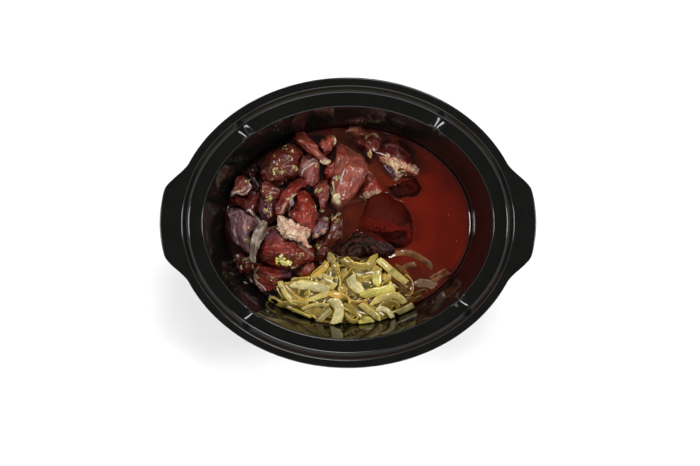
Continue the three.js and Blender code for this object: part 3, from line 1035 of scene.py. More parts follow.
def make_lamb(material):
    for number, node in enumerate(LAMB_LOOKS):
        seed = 11 + number * 9
        mesh = refined(node, LAMB_VOXEL, 4, 1)
        along_grain = shape_lamb(mesh, node, seed)
        paint_lamb(mesh, node, seed, along_grain)
        piece = place_mesh(f"{node}_flesh", mesh, material)
        stands_for(piece, "lamb_fat" if node == "lamb_01" else "raw_lamb", node)


# ---- Garlic and shreds of membrane lying on the lamb ----

# Clusters of minced garlic: x and y of the middle, spread and count.
GARLIC_CLUSTERS = (
    [(-68.5, 51, 3.2, 20), (-63, 49, 2.2, 10), (-50.5, 52.5, 3, 18), (-70, 64, 1.8, 6), (-60, 75, 3, 10)]
    + [(-76, 24.5, 3.6, 22), (-78, 12, 2.4, 12), (-74, 8, 1.2, 4), (-53, 69, 1.6, 7), (-56, 63, 1.4, 4)]
    + [(-28, 31, 2.4, 14), (-25.5, 33, 1.8, 8), (-31, 56, 1.8, 10), (-21, 57, 3, 10), (-95, -4, 2.2, 12)]
    + [(-96, -16, 2.4, 14), (-93, -20, 1.6, 6), (21, 67, 2.6, 14), (-29, -22, 2.4, 12), (-31, 15, 2.2, 9)]
    + [(-15, 8, 3.2, 14), (-12, 3, 3, 10), (-26, -40, 3, 10), (-84, 30, 2, 6), (-104, 30, 1.6, 6)]
    + [(-88, -52, 2.4, 8), (-99, -37, 3.4, 14), (-72, -52, 2, 6), (-46, -31, 3, 12), (-51, -42, 4, 14)]
    + [(-96, 41, 2.2, 10), (18, 27, 3.2, 16), (27, 25, 2, 9), (-7, 44, 1.8, 5), (-12, 43, 1.6, 5)]
    + [(40, 60, 5, 16), (52, 52, 4, 12), (33, 50, 2.4, 8), (-40, 22, 1.4, 4), (-57, 23, 1.6, 6)]
)
BRIGHT_CLUSTER = [(-62, -36.5, 2.8, 22), (-57, -37.5, 2.2, 16), (-68, -34.5, 2.2, 8), (-62, -33, 2.4, 8)]


def solid_tree(endings):
    """A search tree over the pieces already in place whose names end in one of some words."""
    points, faces = [], []
    for piece in bpy.data.objects:
        if piece.type == "MESH" and piece.name.endswith(endings):
            start = len(points)
            points += [v.co.copy() for v in piece.data.vertices]
            faces += [[start + i for i in p.vertices] for p in piece.data.polygons]
    return BVHTree.FromPolygons(points, faces)


def surface_finder(tree):
    """Finds the top of the food under a point."""

    def find(x, y):
        hit, normal, _, _ = tree.ray_cast(Vector((x, y, 0.2)), Vector((0, 0, -1)))
        return (hit, normal) if hit and hit.z > SAUCE_LEVEL - 3 * MM else (None, None)

    return find


def ball_shape(detail):
    """A small ball as points and faces, from a cube cut finer and blown round."""
    mesh = bpy.data.meshes.new("ball")
    work = bpy.data.objects.new("ball", mesh)
    corners = [(x, y, z) for x in (-1, 1) for y in (-1, 1) for z in (-1, 1)]
    sides = [(0, 1, 3, 2), (4, 6, 7, 5), (0, 4, 5, 1), (2, 3, 7, 6), (0, 2, 6, 4), (1, 5, 7, 3)]
    mesh.from_pydata(corners, [], sides)
    bpy.context.collection.objects.link(work)
    work.modifiers.new("rounder", "SUBSURF").levels = detail
    bpy.context.view_layer.update()
    finer = bpy.data.meshes.new_from_object(work.evaluated_get(bpy.context.evaluated_depsgraph_get()))
    points = coordinates(finer)
    faces = [tuple(p.vertices) for p in finer.polygons]
    bpy.data.objects.remove(work)
    return points / np.linalg.norm(points, axis=1)[:, None], faces


# How long, wide and high a chopped bit is, as shares of its size.
BIT_LENGTHS = ((0.9, 1.7), (0.7, 1.1), (0.45, 0.8))


def scatter_bits(name, clusters, sizes, tones, find, material, seed):
    """Chopped bits dropped in clusters on whatever lies below, as one joined mesh."""
    chance = random.Random(seed)
    shape, faces = ball_shape(2)
    all_points, all_faces, all_colours = [], [], []
    for x, y, spread, count in clusters:
        for _ in range(count):
            at_x = (x + chance.gauss(0, spread * 0.55)) * MM
            at_y = (y + chance.gauss(0, spread * 0.55)) * MM
            place, normal = find(at_x, at_y)
            if place is None:
                continue
            size = chance.uniform(*sizes) * MM
            lengths = Vector([chance.uniform(*limits) for limits in BIT_LENGTHS]) * size
            spin = Matrix.Rotation(chance.uniform(0, math.tau), 3, "Z")
            lie = normal.to_track_quat("Z", "Y").to_matrix() @ spin
            dents = 1 + 0.45 * noise_at(shape, 0.9, chance.randrange(1000))
            bits = (shape * dents[:, None] * np.array(lengths)) @ np.array(lie).T
            start = len(all_points) * len(shape)
            all_points.append(bits + np.array(place + normal * lengths.z * 0.35))
            all_faces += [tuple(start + i for i in face) for face in faces]
            tone = np.array(chance.choice(tones)) * chance.uniform(0.7, 1.15)
            all_colours.append(np.tile(tone, (len(shape), 1)))
    piece = make_object(name, np.concatenate(all_points), all_faces, material)
    paint(piece.data, np.concatenate(all_colours))
    return piece


# Ribbons of silverskin, sinew and fat that lie over the lamb: tone, width and the places they run through.
WHITE_SKIN = srgb(196, 172, 160)
CREAM_FAT = srgb(226, 204, 156)
PINK_FAT = srgb(222, 164, 138)
GREY_SINEW = srgb(156, 140, 124)
BEIGE_SHRED = srgb(168, 128, 90)
RIBBONS = [
    (WHITE_SKIN, 2, [(-112, 26.5), (-107, 30), (-102, 28), (-97, 30.5), (-93.5, 36), (-95.5, 39)]),
    (WHITE_SKIN, 1.5, [(-45, 45.5), (-42.5, 51), (-37, 54.5), (-32, 58)]),
    (CREAM_FAT, 2, [(-13, 82), (-12.5, 79), (-13.5, 76)]),
    (CREAM_FAT, 3, [(-27, 60.5), (-22.5, 58), (-17, 60)]),
    (WHITE_SKIN, 1.5, [(-3, 52), (-5.5, 44.5), (-7.5, 37.5)]),
    (WHITE_SKIN, 1.5, [(-12, 44), (-8, 42.5), (-5, 40.5)]),
    (CREAM_FAT, 2, [(-14.5, 40), (-13.5, 34), (-12.5, 29)]),
    (CREAM_FAT, 6.5, [(-12.5, 28), (-10.5, 25), (-9, 21.5)]),
    (CREAM_FAT, 3, [(-9.5, 22), (-8, 18)]),
    (PINK_FAT, 3.5, [(15, 30), (19, 26.5), (23, 29), (26.5, 31), (32, 31.5)]),
    (PINK_FAT, 2, [(37, 66), (40.5, 60.5), (43, 57), (46.5, 52), (47.5, 46)]),
    (PINK_FAT, 2, [(43, 62.5), (49.5, 59.5), (55.5, 56), (60.5, 54), (65.5, 53), (66.5, 48.5)]),
    (WHITE_SKIN, 1.5, [(26, 69), (31.5, 67.5), (36, 65.5)]),
    (srgb(150, 148, 160), 1.5, [(35, 57), (39, 52), (42, 49.5)]),
    (BEIGE_SHRED, 3, [(17, 83), (21, 85.5), (25.5, 86.5), (29, 84)]),
    (WHITE_SKIN, 2.5, [(-98.5, 11.5), (-94.5, 12.5), (-90.5, 7.5), (-86, 2.5), (-85, -1.5)]),
    (srgb(140, 116, 124), 1, [(-115, 3.5), (-112.5, 7.5), (-106.5, 10), (-98.5, 12)]),
    (GREY_SINEW, 6, [(-82, 1), (-86.5, -9), (-89.5, -20), (-91, -29), (-90.5, -37)]),
    (GREY_SINEW, 3.5, [(-76.5, -9), (-80.5, -12.5), (-84, -17.5), (-86, -24)]),
    (CREAM_FAT, 2, [(-104, -40.5), (-103, -44.5)]),
    (CREAM_FAT, 2, [(-93, -40.5), (-92.5, -45)]),
    (WHITE_SKIN, 1.5, [(-99, -35), (-95, -32)]),
    (WHITE_SKIN, 1.5, [(-87, -42.5), (-90, -47.5), (-90.5, -52), (-88, -56), (-82.5, -60.5), (-79, -64.5)]),
    (PINK_FAT, 2.5, [(-47, -14.5), (-43, -16), (-40, -17.5)]),
    (BEIGE_SHRED, 3, [(-77, -6), (-72, -4), (-66, -3.5)]),
    # This pale ribbon on the silverskin marks where it shines white: a painted highlight.
    (WHITE_SKIN, 2, [(-34, -12.5), (-26.5, -8.5), (-21, -4.5)]),
    (CREAM_FAT, 2.5, [(-28, 13.5), (-25.5, 12), (-23.5, 13)]),
    (BEIGE_SHRED, 2.5, [(-19, 8), (-15, 11), (-11, 12)]),
    (CREAM_FAT, 1.5, [(-16, 3), (-12, 7), (-10, 10)]),
    (BEIGE_SHRED, 1.5, [(-46, -42.5), (-41, -39.5), (-37, -38)]),
    (CREAM_FAT, 2, [(-49.5, 29), (-53.5, 24), (-55.5, 18), (-57, 11.5)]),
    (srgb(132, 104, 108), 4, [(-54.5, 23), (-53.5, 20), (-53.5, 16)]),
]


# Lumps of torn fat on the piece at the back and on the fat piece's edge: x, y, spread and count.
FAT_CLUSTERS = [
    (38, 65, 1.2, 7), (41, 60.5, 1.8, 14), (43, 57.5, 1.8, 16), (46, 54, 1.8, 14), (47.5, 49.5, 1.3, 9),
    (45, 61.5, 1.5, 10), (50, 59, 1.7, 14), (54.5, 56.5, 1.6, 13), (59, 54.8, 1.7, 14),
    (63.5, 53.4, 1.6, 12), (66.3, 50.5, 1.2, 8), (18, 28.5, 1.4, 8), (24, 29.5, 1.6, 10),
    (29, 31, 1.2, 6), (-38, -21, 2, 10), (-46, -15.5, 2, 8), (-24, -7.5, 1.8, 9), (-31, -11, 1.4, 6),
]


def make_ribbons(material, find):
    """Lays each ribbon over whatever lies below it."""
    chance = random.Random(23)
    ribbons = []
    for tone, width, places in RIBBONS:
        flat = smooth_path([Vector((x * MM, y * MM, 0)) for x, y in places], 0.7 * MM)
        heights = [find(place.x, place.y)[0] for place in flat]
        known = [hit.z for hit in heights if hit]
        if not known:
            continue
        level = np.array([hit.z if hit else min(known) for hit in heights])
        level = np.convolve(np.pad(level, 2, mode="edge"), np.ones(5) / 5, "valid")
        path = [Vector((place.x, place.y, z + 0.35 * MM)) for place, z in zip(flat, level)]
        ribbons.append(slice_mesh(path, width * MM, chance.gauss(0, 10), tone, chance, tone, 0.05, 1.1 * MM))
    stands_for(join_slices("membranes", ribbons, material), "lamb_fat")


def make_fat_lumps(material, find):
    tones = [PINK_FAT, CREAM_FAT, srgb(206, 132, 106), srgb(190, 150, 120)]
    lumps = scatter_bits("fat_lumps", FAT_CLUSTERS, (0.9, 2.0), tones, find, material, 8)
    stands_for(lumps, "lamb_fat")


def make_garlic(material, find):
    tones = [srgb(198, 178, 118), srgb(170, 146, 88), srgb(208, 190, 140), srgb(142, 114, 64)]
    garlic = scatter_bits("minced_garlic", GARLIC_CLUSTERS, (0.35, 1.15), tones, find, material, 5)
    stands_for(garlic, "soft_onion")
    bright = [srgb(252, 242, 120), srgb(238, 224, 96), srgb(252, 248, 176)]
    clump = scatter_bits("ginger_clump", BRIGHT_CLUSTER, (0.7, 1.7), bright, find, material, 6)
    stands_for(clump, "soft_onion")


# ---- The pastes ----


def make_tomato_paste(material):
    """Two scoops pushed together: a smooth dome, torn along its front, over a lower smooth slope."""
    mesh = refined("tomato_paste", 0.7 * MM, 5)
    points, directions = fit_outline(coordinates(mesh), OUTLINES["tomato_paste"]), normals(mesh)
    x, y = points[:, 0] / MM, points[:, 1] / MM
    ragged = 1.5 * noise_at(points, 5 * MM, 3)
    lip = np.interp(x, [10, 15, 30, 55, 70], [0, -6, -8, -6.5, -4]) + ragged
    torn_from = np.interp(x, [10, 35, 55, 70], [12, 4, -1, -2]) + 2 * ragged
    below = soft_step(lip - y, 0, 2.4) * soft_step(x, 24, 30) * (1 - soft_step(x + 1.4 * ragged, 53, 58.5))
    ridge = np.exp(-(((x - 58.5 + ragged * 0.6) / 2.2) ** 2)) * soft_step(-y, -2, 1) * soft_step(y, -17, -14)
    torn = soft_step(torn_from - y, 0, 5) * (1 - below)
    torn = np.maximum(torn, ridge)
    up = np.clip(directions[:, 2], 0, 1)
    slope = 1 - 0.75 * soft_step(lip - y, 2, 18)
    points[:, 2] += (1.8 * ridge - 3.6 * below * slope) * up * MM
    rise = 0.9 * MM * noise_at(points, 12 * MM, 4) + 0.12 * MM * noise_at(points, 2.2 * MM, 12)
    crumbs = 0.9 * MM * creases(points, 2.4 * MM, 5) + 0.7 * MM * noise_at(points, 1.3 * MM, 6)
    rise += torn * crumbs
    move_to(mesh, points + directions * rise[:, None])
    colours = np.tile(np.array(srgb(74, 17, 9)), (len(points), 1))
    # The torn face is paler red of its own, and lighter still on the raised crumbs: painted light that
    # follows their relief.
    crumb_relief = noise_at(points, 1.3 * MM, 6)
    colours = blend_colours(colours, srgb(108, 24, 14), torn * (0.6 + 0.9 * crumb_relief))
    dark = soft_step(x - 0.6 * y, 38, 60) * (1 - torn)
    colours = blend_colours(colours, srgb(36, 10, 4), dark * 0.75)
    # Painted shade on the lower slope just under the torn lip.
    colours = blend_colours(colours, srgb(34, 9, 5), below * (1 - soft_step(lip - y, 1, 6)) * 0.6)
    paint(mesh, colours)
    stands_for(place_mesh("tomato_paste_scoop", mesh, material), "tomato_paste", "tomato_paste")


def make_paste_dab(material):
    """A torn dab with a hollow swirl in its middle, darkened there by painted shade."""
    mesh = refined("tomato_paste_dab", 0.6 * MM, 4)
    points, directions = fit_outline(coordinates(mesh), OUTLINES["tomato_paste_dab"]), normals(mesh)
    from_swirl = np.hypot(points[:, 0] - 60 * MM, points[:, 1] - 36 * MM) / MM
    from_swirl += 5 * noise_at(points, 6 * MM, 13) + 1.5 * noise_at(points, 2.5 * MM, 17)
    ring = np.exp(-(((from_swirl - 5.2) / 1.5) ** 2))
    hollow = np.exp(-((from_swirl / 3.4) ** 4))
    rise = (1.3 * ring - 1.6 * hollow) * MM * np.clip(directions[:, 2], 0, 1)
    rise += 0.7 * MM * creases(points, 3.4 * MM, 14) + 0.4 * MM * noise_at(points, 1.3 * MM, 15)
    move_to(mesh, points + directions * rise[:, None])
    colours = np.tile(np.array(srgb(66, 15, 8)), (len(points), 1))
    # The raised ring is painted a little lighter, and the hollow and the dab's outer part darker: painted
    # light and shade.
    colours = blend_colours(colours, srgb(96, 22, 12), 0.3 * ring + 0.9 * noise_at(points, 3 * MM, 18))
    shaded = 0.8 * hollow + 0.7 * soft_step(from_swirl, 6, 9) * (1 - ring)
    colours = blend_colours(colours, srgb(34, 9, 6), shaded)
    paint(mesh, colours)
    stands_for(place_mesh("tomato_paste_dab_scoop", mesh, material), "tomato_paste", "tomato_paste_dab")


def make_curry_paste(material):
    """Coarse, oily and nearly black, with one glossy curl round a smooth dome."""
    mesh = refined("curry_paste", 0.7 * MM, 4)
    points, directions = coordinates(mesh), normals(mesh)
    wander = noise_at(points, 7 * MM, 16)
    from_curl = np.hypot(points[:, 0] - 9 * MM, points[:, 1] + 30 * MM) / MM + 1.6 * wander
    curl = np.exp(-(((from_curl - 9) / 1.9) ** 2)) + 0.7 * np.exp(-(((from_curl - 15) / 2) ** 2))
    dome = np.exp(-((from_curl / 5) ** 4))
    rough = 1 - 0.8 * dome
    up = np.clip(directions[:, 2], 0, 1)
    rise = (2.2 * curl + 1.2 * dome) * up * MM + 0.9 * MM * wander
    crumbs = 0.45 * MM * creases(points, 2.8 * MM, 8) + 0.6 * MM * noise_at(points, 1.4 * MM, 9)
    rise += rough * crumbs
    move_to(mesh, points + directions * rise[:, None])
    colours = np.tile(np.array(srgb(32, 13, 8)), (len(points), 1))
    colours = blend_colours(colours, srgb(80, 32, 17), 0.4 + 1.1 * noise_at(points, 4 * MM, 10))
    colours = blend_colours(colours, srgb(54, 22, 15), dome)
    # Painted light and shade: the colour follows the crumbs' relief, darker in their pits and lighter on
    # top.
    colours *= np.clip(0.9 + 1.5 * noise_at(points, 1.4 * MM, 9), 0.3, 1.6)[:, None]
    paint(mesh, colours)
    stands_for(place_mesh("curry_paste_lump", mesh, material), "curry_paste", "curry_paste")


# ---- The onions ----

CREAM_ONION = srgb(246, 230, 166)
PALE_ONION = srgb(230, 208, 124)
GREEN_ONION = srgb(230, 214, 112)
OLIVE_ONION = srgb(184, 158, 74)
DULL_ONION = srgb(140, 114, 46)
GREY_ONION = srgb(166, 150, 96)
GOLD_ONION = srgb(222, 178, 82)
BROWN_ONION = srgb(118, 78, 34)
SOAKED_ONION = srgb(122, 76, 24)
EDGE_GOLD = srgb(238, 202, 84)

# The slices that lie on top of the heap: tone, width, lift over the heap's crown and roll in degrees,
# then the places they run through, in millimetres from the pot's middle.
TOP_SLICES = [
    (CREAM_ONION, 8.5, 3, 8,
        [(-56, -59.5), (-48, -59), (-40, -59), (-32, -60.5), (-24.5, -62), (-18, -64.5)]),
    (PALE_ONION, 10.5, 1.5, -14, [(-31, -52), (-23.5, -52.5), (-17, -55.5), (-11.5, -60)]),
    (GOLD_ONION, 6, 1, 10, [(-20, -37), (-23, -42), (-27, -47), (-33, -52.5)]),
    (GREY_ONION, 7, -1, 16, [(-19.5, -29), (-16.5, -34), (-14, -39)]),
    (OLIVE_ONION, 8, 2, 20, [(-15, -40), (-11.5, -43), (-8, -44)]),
    (PALE_ONION, 6, 2, -12, [(-66, -55.5), (-62.5, -61.5), (-58.5, -68.5), (-53, -74), (-46, -76)]),
    (OLIVE_ONION, 3, 0.5, -30, [(-69, -60), (-65.5, -66.5), (-61.5, -72.5)]),
    (GOLD_ONION, 4, 1, -20, [(-59.5, -59), (-56.5, -63), (-51.5, -68.5), (-46, -72), (-38.5, -73.5)]),
    (OLIVE_ONION, 5.5, 2.5, 14, [(-76, -78.5), (-70.5, -81), (-60.5, -77.5), (-49.5, -77), (-39, -78)]),
    (PALE_ONION, 3, 1.5, 60, [(-64.5, -75.5), (-70, -72), (-74.5, -71), (-77.5, -75), (-75, -79.5)]),
    (GREEN_ONION, 3.5, 0.5, 40, [(-59, -80.5), (-54, -83), (-47.5, -85.5), (-40.5, -88.5), (-35.5, -90)]),
    (GREY_ONION, 5.5, 3, 12, [(-16.5, -82), (-22, -87), (-27, -92), (-31, -96)]),
    (CREAM_ONION, 9, 5, 0, [(-19, -73), (-12.5, -75), (-9, -80), (-9, -86.5), (-11, -92.5), (-12.5, -96)]),
    (PALE_ONION, 5, 3, 10, [(-40, -74), (-33, -72), (-26.5, -69.5), (-20.5, -67.5), (-12.5, -65.5)]),
    (GOLD_ONION, 6, 4, -10, [(-19, -67.5), (-14, -67), (-8, -68.5), (-1, -66.5)]),
    (PALE_ONION, 3.5, 3, 24, [(-44, -82.5), (-36, -79), (-27.5, -78), (-18, -78.5)]),
    (OLIVE_ONION, 8.5, 0.5, 0, [(-43, -85.5), (-34, -84), (-25, -84.5), (-17, -86)]),
    (GREEN_ONION, 3.5, 1, 50, [(-38.5, -64), (-38, -66.5), (-38, -69.5)]),
    (OLIVE_ONION, 8.5, 2.5, -20, [(-7.5, -60), (-4.5, -62), (-1, -64)]),
    (OLIVE_ONION, 9, 3, 26,
        [(-5, -33.5), (0.5, -39), (8, -42), (16, -42.5), (21.5, -40), (24.5, -35), (25, -30)]),
    (OLIVE_ONION, 9, 0.5, -18, [(8, -44.5), (15, -49), (22.5, -46.5), (28.5, -41)]),
    (OLIVE_ONION, 8, 1, 16, [(9, -53), (15, -55), (23.5, -53)]),
    (GREEN_ONION, 8, 3.5, 0, [(28, -45), (27.5, -52), (28, -60)]),
    (CREAM_ONION, 9.5, 3, -8, [(2.5, -50), (4, -56), (9, -61), (15.5, -65)]),
    (GREEN_ONION, 8, 5, 10, [(11.5, -69), (18, -68), (26, -65.5), (34, -64), (41, -62), (43, -58.5)]),
    (PALE_ONION, 6.5, 4, -12, [(29, -34), (37, -41), (45, -48), (52.5, -54), (56, -57)]),
    (GOLD_ONION, 4, 1, 20, [(34, -48.5), (33.5, -54.5)]),
    (OLIVE_ONION, 5.5, 1.5, -20, [(42, -48.5), (38.5, -52.5), (36, -57)]),
    (PALE_ONION, 6.5, 4, 14, [(21, -78), (28.5, -73), (36, -70), (43.5, -69), (49.5, -72), (54, -76.5)]),
    (DULL_ONION, 5, 2, 14, [(32.5, -78.5), (39, -76), (45, -77), (48.5, -81)]),
    (CREAM_ONION, 5, 4.5, -16, [(27, -81.5), (33, -81.5), (38, -84), (41.5, -88), (43, -90.5)]),
    (PALE_ONION, 6, 4, 10, [(11.5, -76.5), (18, -82), (25, -87), (31, -93)]),
    (OLIVE_ONION, 5, 3, -10, [(16.5, -78.5), (26, -82.5), (34.5, -88.5)]),
    (OLIVE_ONION, 4.5, 2.5, -14, [(-3.5, -76.5), (3, -80.5), (8, -85), (12, -90.5)]),
    (OLIVE_ONION, 4, 1, 20, [(-3, -85.5), (-0.5, -91), (5, -94), (10, -92.5)]),
    (GREEN_ONION, 7, 2, 8, [(10, -95), (17, -93), (25.5, -94.5)]),
    (GREY_ONION, 5.5, 2.5, 14, [(47, -86), (55, -82.5), (63, -78.5)]),
    (GOLD_ONION, 2.5, 4.5, 0, [(-1.5, -70), (4, -74), (12.5, -74.5), (20.5, -72)]),
    (GOLD_ONION, 2, 5, 0, [(-6, -67), (0, -71), (2, -77)]),
    (OLIVE_ONION, 4.5, 1, 20, [(-1, -43.5), (-5.5, -47.5), (-9.5, -51)]),
    (OLIVE_ONION, 4.5, 0.5, -20, [(-12, -50.5), (-7, -54.5), (-3, -59.5)]),
    (OLIVE_ONION, 5, 0, 12, [(-55, -54), (-47, -54.5), (-38, -53.5)]),
    (SOAKED_ONION, 9, -0.5, 14, [(44.5, -43), (50.5, -47), (55.5, -54), (57.5, -62)]),
    (SOAKED_ONION, 6, 0.5, -16, [(46, -50), (52, -54.5), (55, -61), (53.5, -67.5)]),
    (SOAKED_ONION, 7, 0, 20, [(40, -52), (46, -57.5), (49, -64)]),
    (BROWN_ONION, 5, 1, 30, [(54, -50), (59.5, -56.5), (60, -64.5), (56, -69.5)]),
    (SOAKED_ONION, 8, 0.5, 0, [(50, -79), (57, -74), (63, -70.5)]),
]
SLICE_THICKNESS = 1.3 * MM
SLICE_WIDENING = 1.1
SOAKED_RIM = np.array(SOAKED_ONION) * 1.4
FILLER_COUNT = 170
FILLER_LIFT = (-3.4, 0.2)
CORE_INSET = 4.5
CORE_DROP = 13 * MM
SLICE_SPREAD = (-0.94, -0.75, -0.45, -0.15, 0.15, 0.45, 0.75, 0.94)


def heap_crown(x, y):
    """The smooth top of the heap: highest in the middle, lower at both sides and at the back."""
    front = 62 * MM if y < -60 * MM else 40 * MM
    out = math.hypot(x / (84 * MM), (y + 60 * MM) / front)
    return 94.5 * MM - 15 * MM * out**2.6


def smooth_path(places, step):
    """Evenly spaced points along a curve through places."""
    ends = [places[0] * 2 - places[1], *places, places[-1] * 2 - places[-2]]
    curve = []
    for a, b, c, d in zip(ends, ends[1:], ends[2:], ends[3:]):
        count = max(2, round((c - b).length / step))
        for i in range(count):
            t = i / count
            square, cube = 2 * a - 5 * b + 4 * c - d, 3 * b - a - 3 * c + d
            curve.append(0.5 * (2 * b + (c - a) * t + square * t**2 + cube * t**3))
    curve.append(places[-1].copy())
    return curve


def kept_inside(points):
    """Draws in whatever would pass through the pot's inner wall."""
    inset = inner_wall(points[:, 2]) + 0.6 * MM
    out = np.hypot(points[:, 0] / (RIM_HALF_LENGTH - inset), points[:, 1] / (RIM_HALF_WIDTH - inset))
    points[:, :2] /= np.maximum(out, 1)[:, None]
    return points


def slice_tone(point, shade, edge, tone, rim, seed):
    """The colour at a point of a slice: mottled, with another tone at its rim and dark stains."""
    mottle = noise.noise(point / (4 * MM) + Vector((seed, 0, 0)))
    stain = noise.noise(point / (6 * MM) + Vector((0, 0, 3)))
    colour = np.array(tone) * (shade + 0.22 * mottle)
    colour += (np.array(rim) - colour) * min(edge * 0.85, 1)
    colour += (np.array(rim) * 0.3 - colour) * min(max(stain - 0.26, 0) * 2.4, 0.8)
    return np.clip(colour, 0.01, 0.9)


def slice_mesh(path, width, roll, tone, chance, rim=EDGE_GOLD, crown=0.14, thickness=SLICE_THICKNESS):
    """One slice along a path: curved across, with rounded edges, cut ends and another tone at the rim."""
    outline = [(u, 1) for u in SLICE_SPREAD] + [(1, 0.3), (1, -0.3)]
    outline += [(u, -1) for u in reversed(SLICE_SPREAD)] + [(-1, -0.3), (-1, 0.3)]
    across = len(outline)
    points, colours = [], []
    seed = chance.randrange(10000)
    length = len(path) - 1
    taper = chance.choice((0.1, 0.1, 0.3)), chance.choice((0.1, 0.1, 0.3))
    slant = chance.uniform(-0.9, 0.9), chance.uniform(-0.9, 0.9)
    dim = chance.uniform(0, math.tau)
    for i, place in enumerate(path):
        ahead = (path[min(i + 1, length)] - path[max(i - 1, 0)]).normalized()
        side = ahead.cross(Vector((0, 0, 1))).normalized()
        wave = noise.noise(Vector((i * 0.13, seed, 0)))
        side = Matrix.Rotation(math.radians(roll + 14 * wave), 3, ahead) @ side
        out = side.cross(ahead)
        share = i / length
        far_half = 0 if share < 0.5 else 1
        to_end = min(share, 1 - share)
        near_end = min(to_end / taper[far_half], 1)
        narrow = 0.88 if taper[far_half] < 0.2 else 0.35
        skew = slant[far_half] * max(1 - to_end / 0.25, 0)
        half = width / 2 * (narrow + (1 - narrow) * math.sin(near_end * math.pi / 2))
        half *= 1 + 0.12 * noise.noise(Vector((i * 0.21, seed, 5)))
        thick = thickness / 2 * (0.8 + 0.2 * near_end)
        for u, v in outline:
            ridge = 0.2 * math.sin(u * 8 + seed) * (1 - u * u)
            flat = side * (u * half) + ahead * (u * half * skew)
            points.append(place + flat + out * ((v + ridge) * thick - crown * width * u * u))
            edge = max(soft_step(abs(u), 0.72, 0.94), 0.6 * (1 - near_end) ** 2)
            shade = 0.84 + 0.12 * math.sin(u * 11 + seed) * (1 - u * u)
            shade += 0.2 * math.sin(share * 3.4 + dim) + 0.14 * u * math.cos(dim)
            colours.append(slice_tone(points[-1], shade, edge, tone, rim, seed))
    faces = []
    for i in range(length):
        for k in range(across):
            a, b = i * across + k, i * across + (k + 1) % across
            faces.append((a, b, b + across, a + across))
    faces.append(tuple(reversed(range(across))))
    faces.append(tuple(range(length * across, (length + 1) * across)))
    return kept_inside(np.array([tuple(p) for p in points])), faces, colours


def join_slices(name, slices, material):
    points, faces, colours = [], [], []
    total = 0
    for some_points, some_faces, some_colours in slices:
        faces += [tuple(total + i for i in face) for face in some_faces]
        total += len(some_points)
        points.append(some_points)
        colours += some_colours
    piece = make_object(name, np.concatenate(points), faces, material)
    paint(piece.data, np.array(colours))
    return piece


def in_heap(x, y):
    """Whether a place, in millimetres, lies over the heap of onions."""
    left, right = -72 - 0.12 * (y + 60), 60
    back = np.interp(x, [-72, -55, -30, -10, 15, 40, 60], [-62, -56, -46, -34, -36, -48, -64])
    return left < x < right and y < back and math.hypot(x / 122, y / 97) < 0.98


# Bits of onion browned in the pan: x, y, spread and count.
BROWNED_CLUSTERS = [
    (2, -69, 2.4, 9), (8, -71, 2, 7), (14, -74, 2.2, 8), (20, -73.5, 1.6, 5), (-4, -66, 1.6, 4),
    (3, -45, 1.2, 4), (-14, -44, 1, 3), (-24, -52, 1, 2), (32, -47, 1.2, 3), (-18, -79, 1.4, 2),
]


def make_browned_bits(material):
    find = surface_finder(solid_tree(("_slices",)))
    tones = [srgb(150, 62, 22), srgb(120, 50, 20), srgb(186, 112, 40), srgb(96, 40, 18)]
    bits = scatter_bits("browned_onion_bits", BROWNED_CLUSTERS, (0.3, 0.9), tones, find, material, 9)
    stands_for(bits, "soft_onion")


def make_onion_core(material):
    """The heap's solid drawn in and painted near black, as painted shade that only shows between the slices.
    """
    core = refined("onion_heap", 1.6 * MM, 4)
    points, directions = coordinates(core), normals(core)
    points -= directions * CORE_INSET * MM
    points[:, 2] -= CORE_DROP * soft_step(points[:, 0], 32 * MM, 52 * MM)
    points += directions * (1.2 * MM * noise_at(points, 5 * MM, 20))[:, None]
    move_to(core, kept_inside(points))
    # Painted shade: the core is near-black brown so that the gaps between slices read as shadow.
    dark = np.tile(np.array(BROWN_ONION) * 0.3, (len(points), 1))
    paint(core, blend_colours(dark, DULL_ONION, 0.2 + 0.6 * noise_at(points, 6 * MM, 21)))
    stands_for(place_mesh("onion_core", core, material), "soft_onion", "onion_heap")


def filler_places(chance, x, y):
    """The places over the heap that a slice laid at random runs through, and its lift over the crown."""
    heading = chance.choice([0.25, -0.6, 0.9, -0.2, 1.4]) + chance.gauss(0, 0.5)
    bend = chance.gauss(0, 0.03)
    half = chance.uniform(8, 18)
    lift = chance.uniform(*FILLER_LIFT)
    places = []
    for step in (-1, -0.5, 0, 0.5, 1):
        at_x = x + half * step * math.cos(heading) - bend * (half * step) ** 2 * math.sin(heading)
        at_y = y + half * step * math.sin(heading) + bend * (half * step) ** 2 * math.cos(heading)
        if in_heap(at_x, at_y):
            height = heap_crown(at_x * MM, at_y * MM) + lift * MM + chance.gauss(0, 0.8) * MM
            places.append(Vector((at_x * MM, at_y * MM, height)))
    return places, lift


def make_fillers(material, chance):
    """Slices laid at random, which fill the gaps between those placed on top, darkened with painted shade.
    """
    tones = [OLIVE_ONION, DULL_ONION, PALE_ONION, DULL_ONION, GREY_ONION, GOLD_ONION]
    slices = []
    while len(slices) < FILLER_COUNT:
        x, y = chance.uniform(-76, 62), chance.uniform(-95, -30)
        if not in_heap(x, y):
            continue
        places, lift = filler_places(chance, x, y)
        if len(places) < 3:
            continue
        # Painted shade: filler slices are darkened overall, and more the lower they lie.
        tone = np.array(chance.choice(tones)) * chance.uniform(0.35, 0.75) * (0.8 + 0.14 * lift)
        path = smooth_path(places, 1.6 * MM)
        width = chance.uniform(4.5, 8.5) * MM
        slices.append(slice_mesh(path, width, chance.gauss(0, 22), tone, chance))
    stands_for(join_slices("onion_fillers", slices, material), "soft_onion")


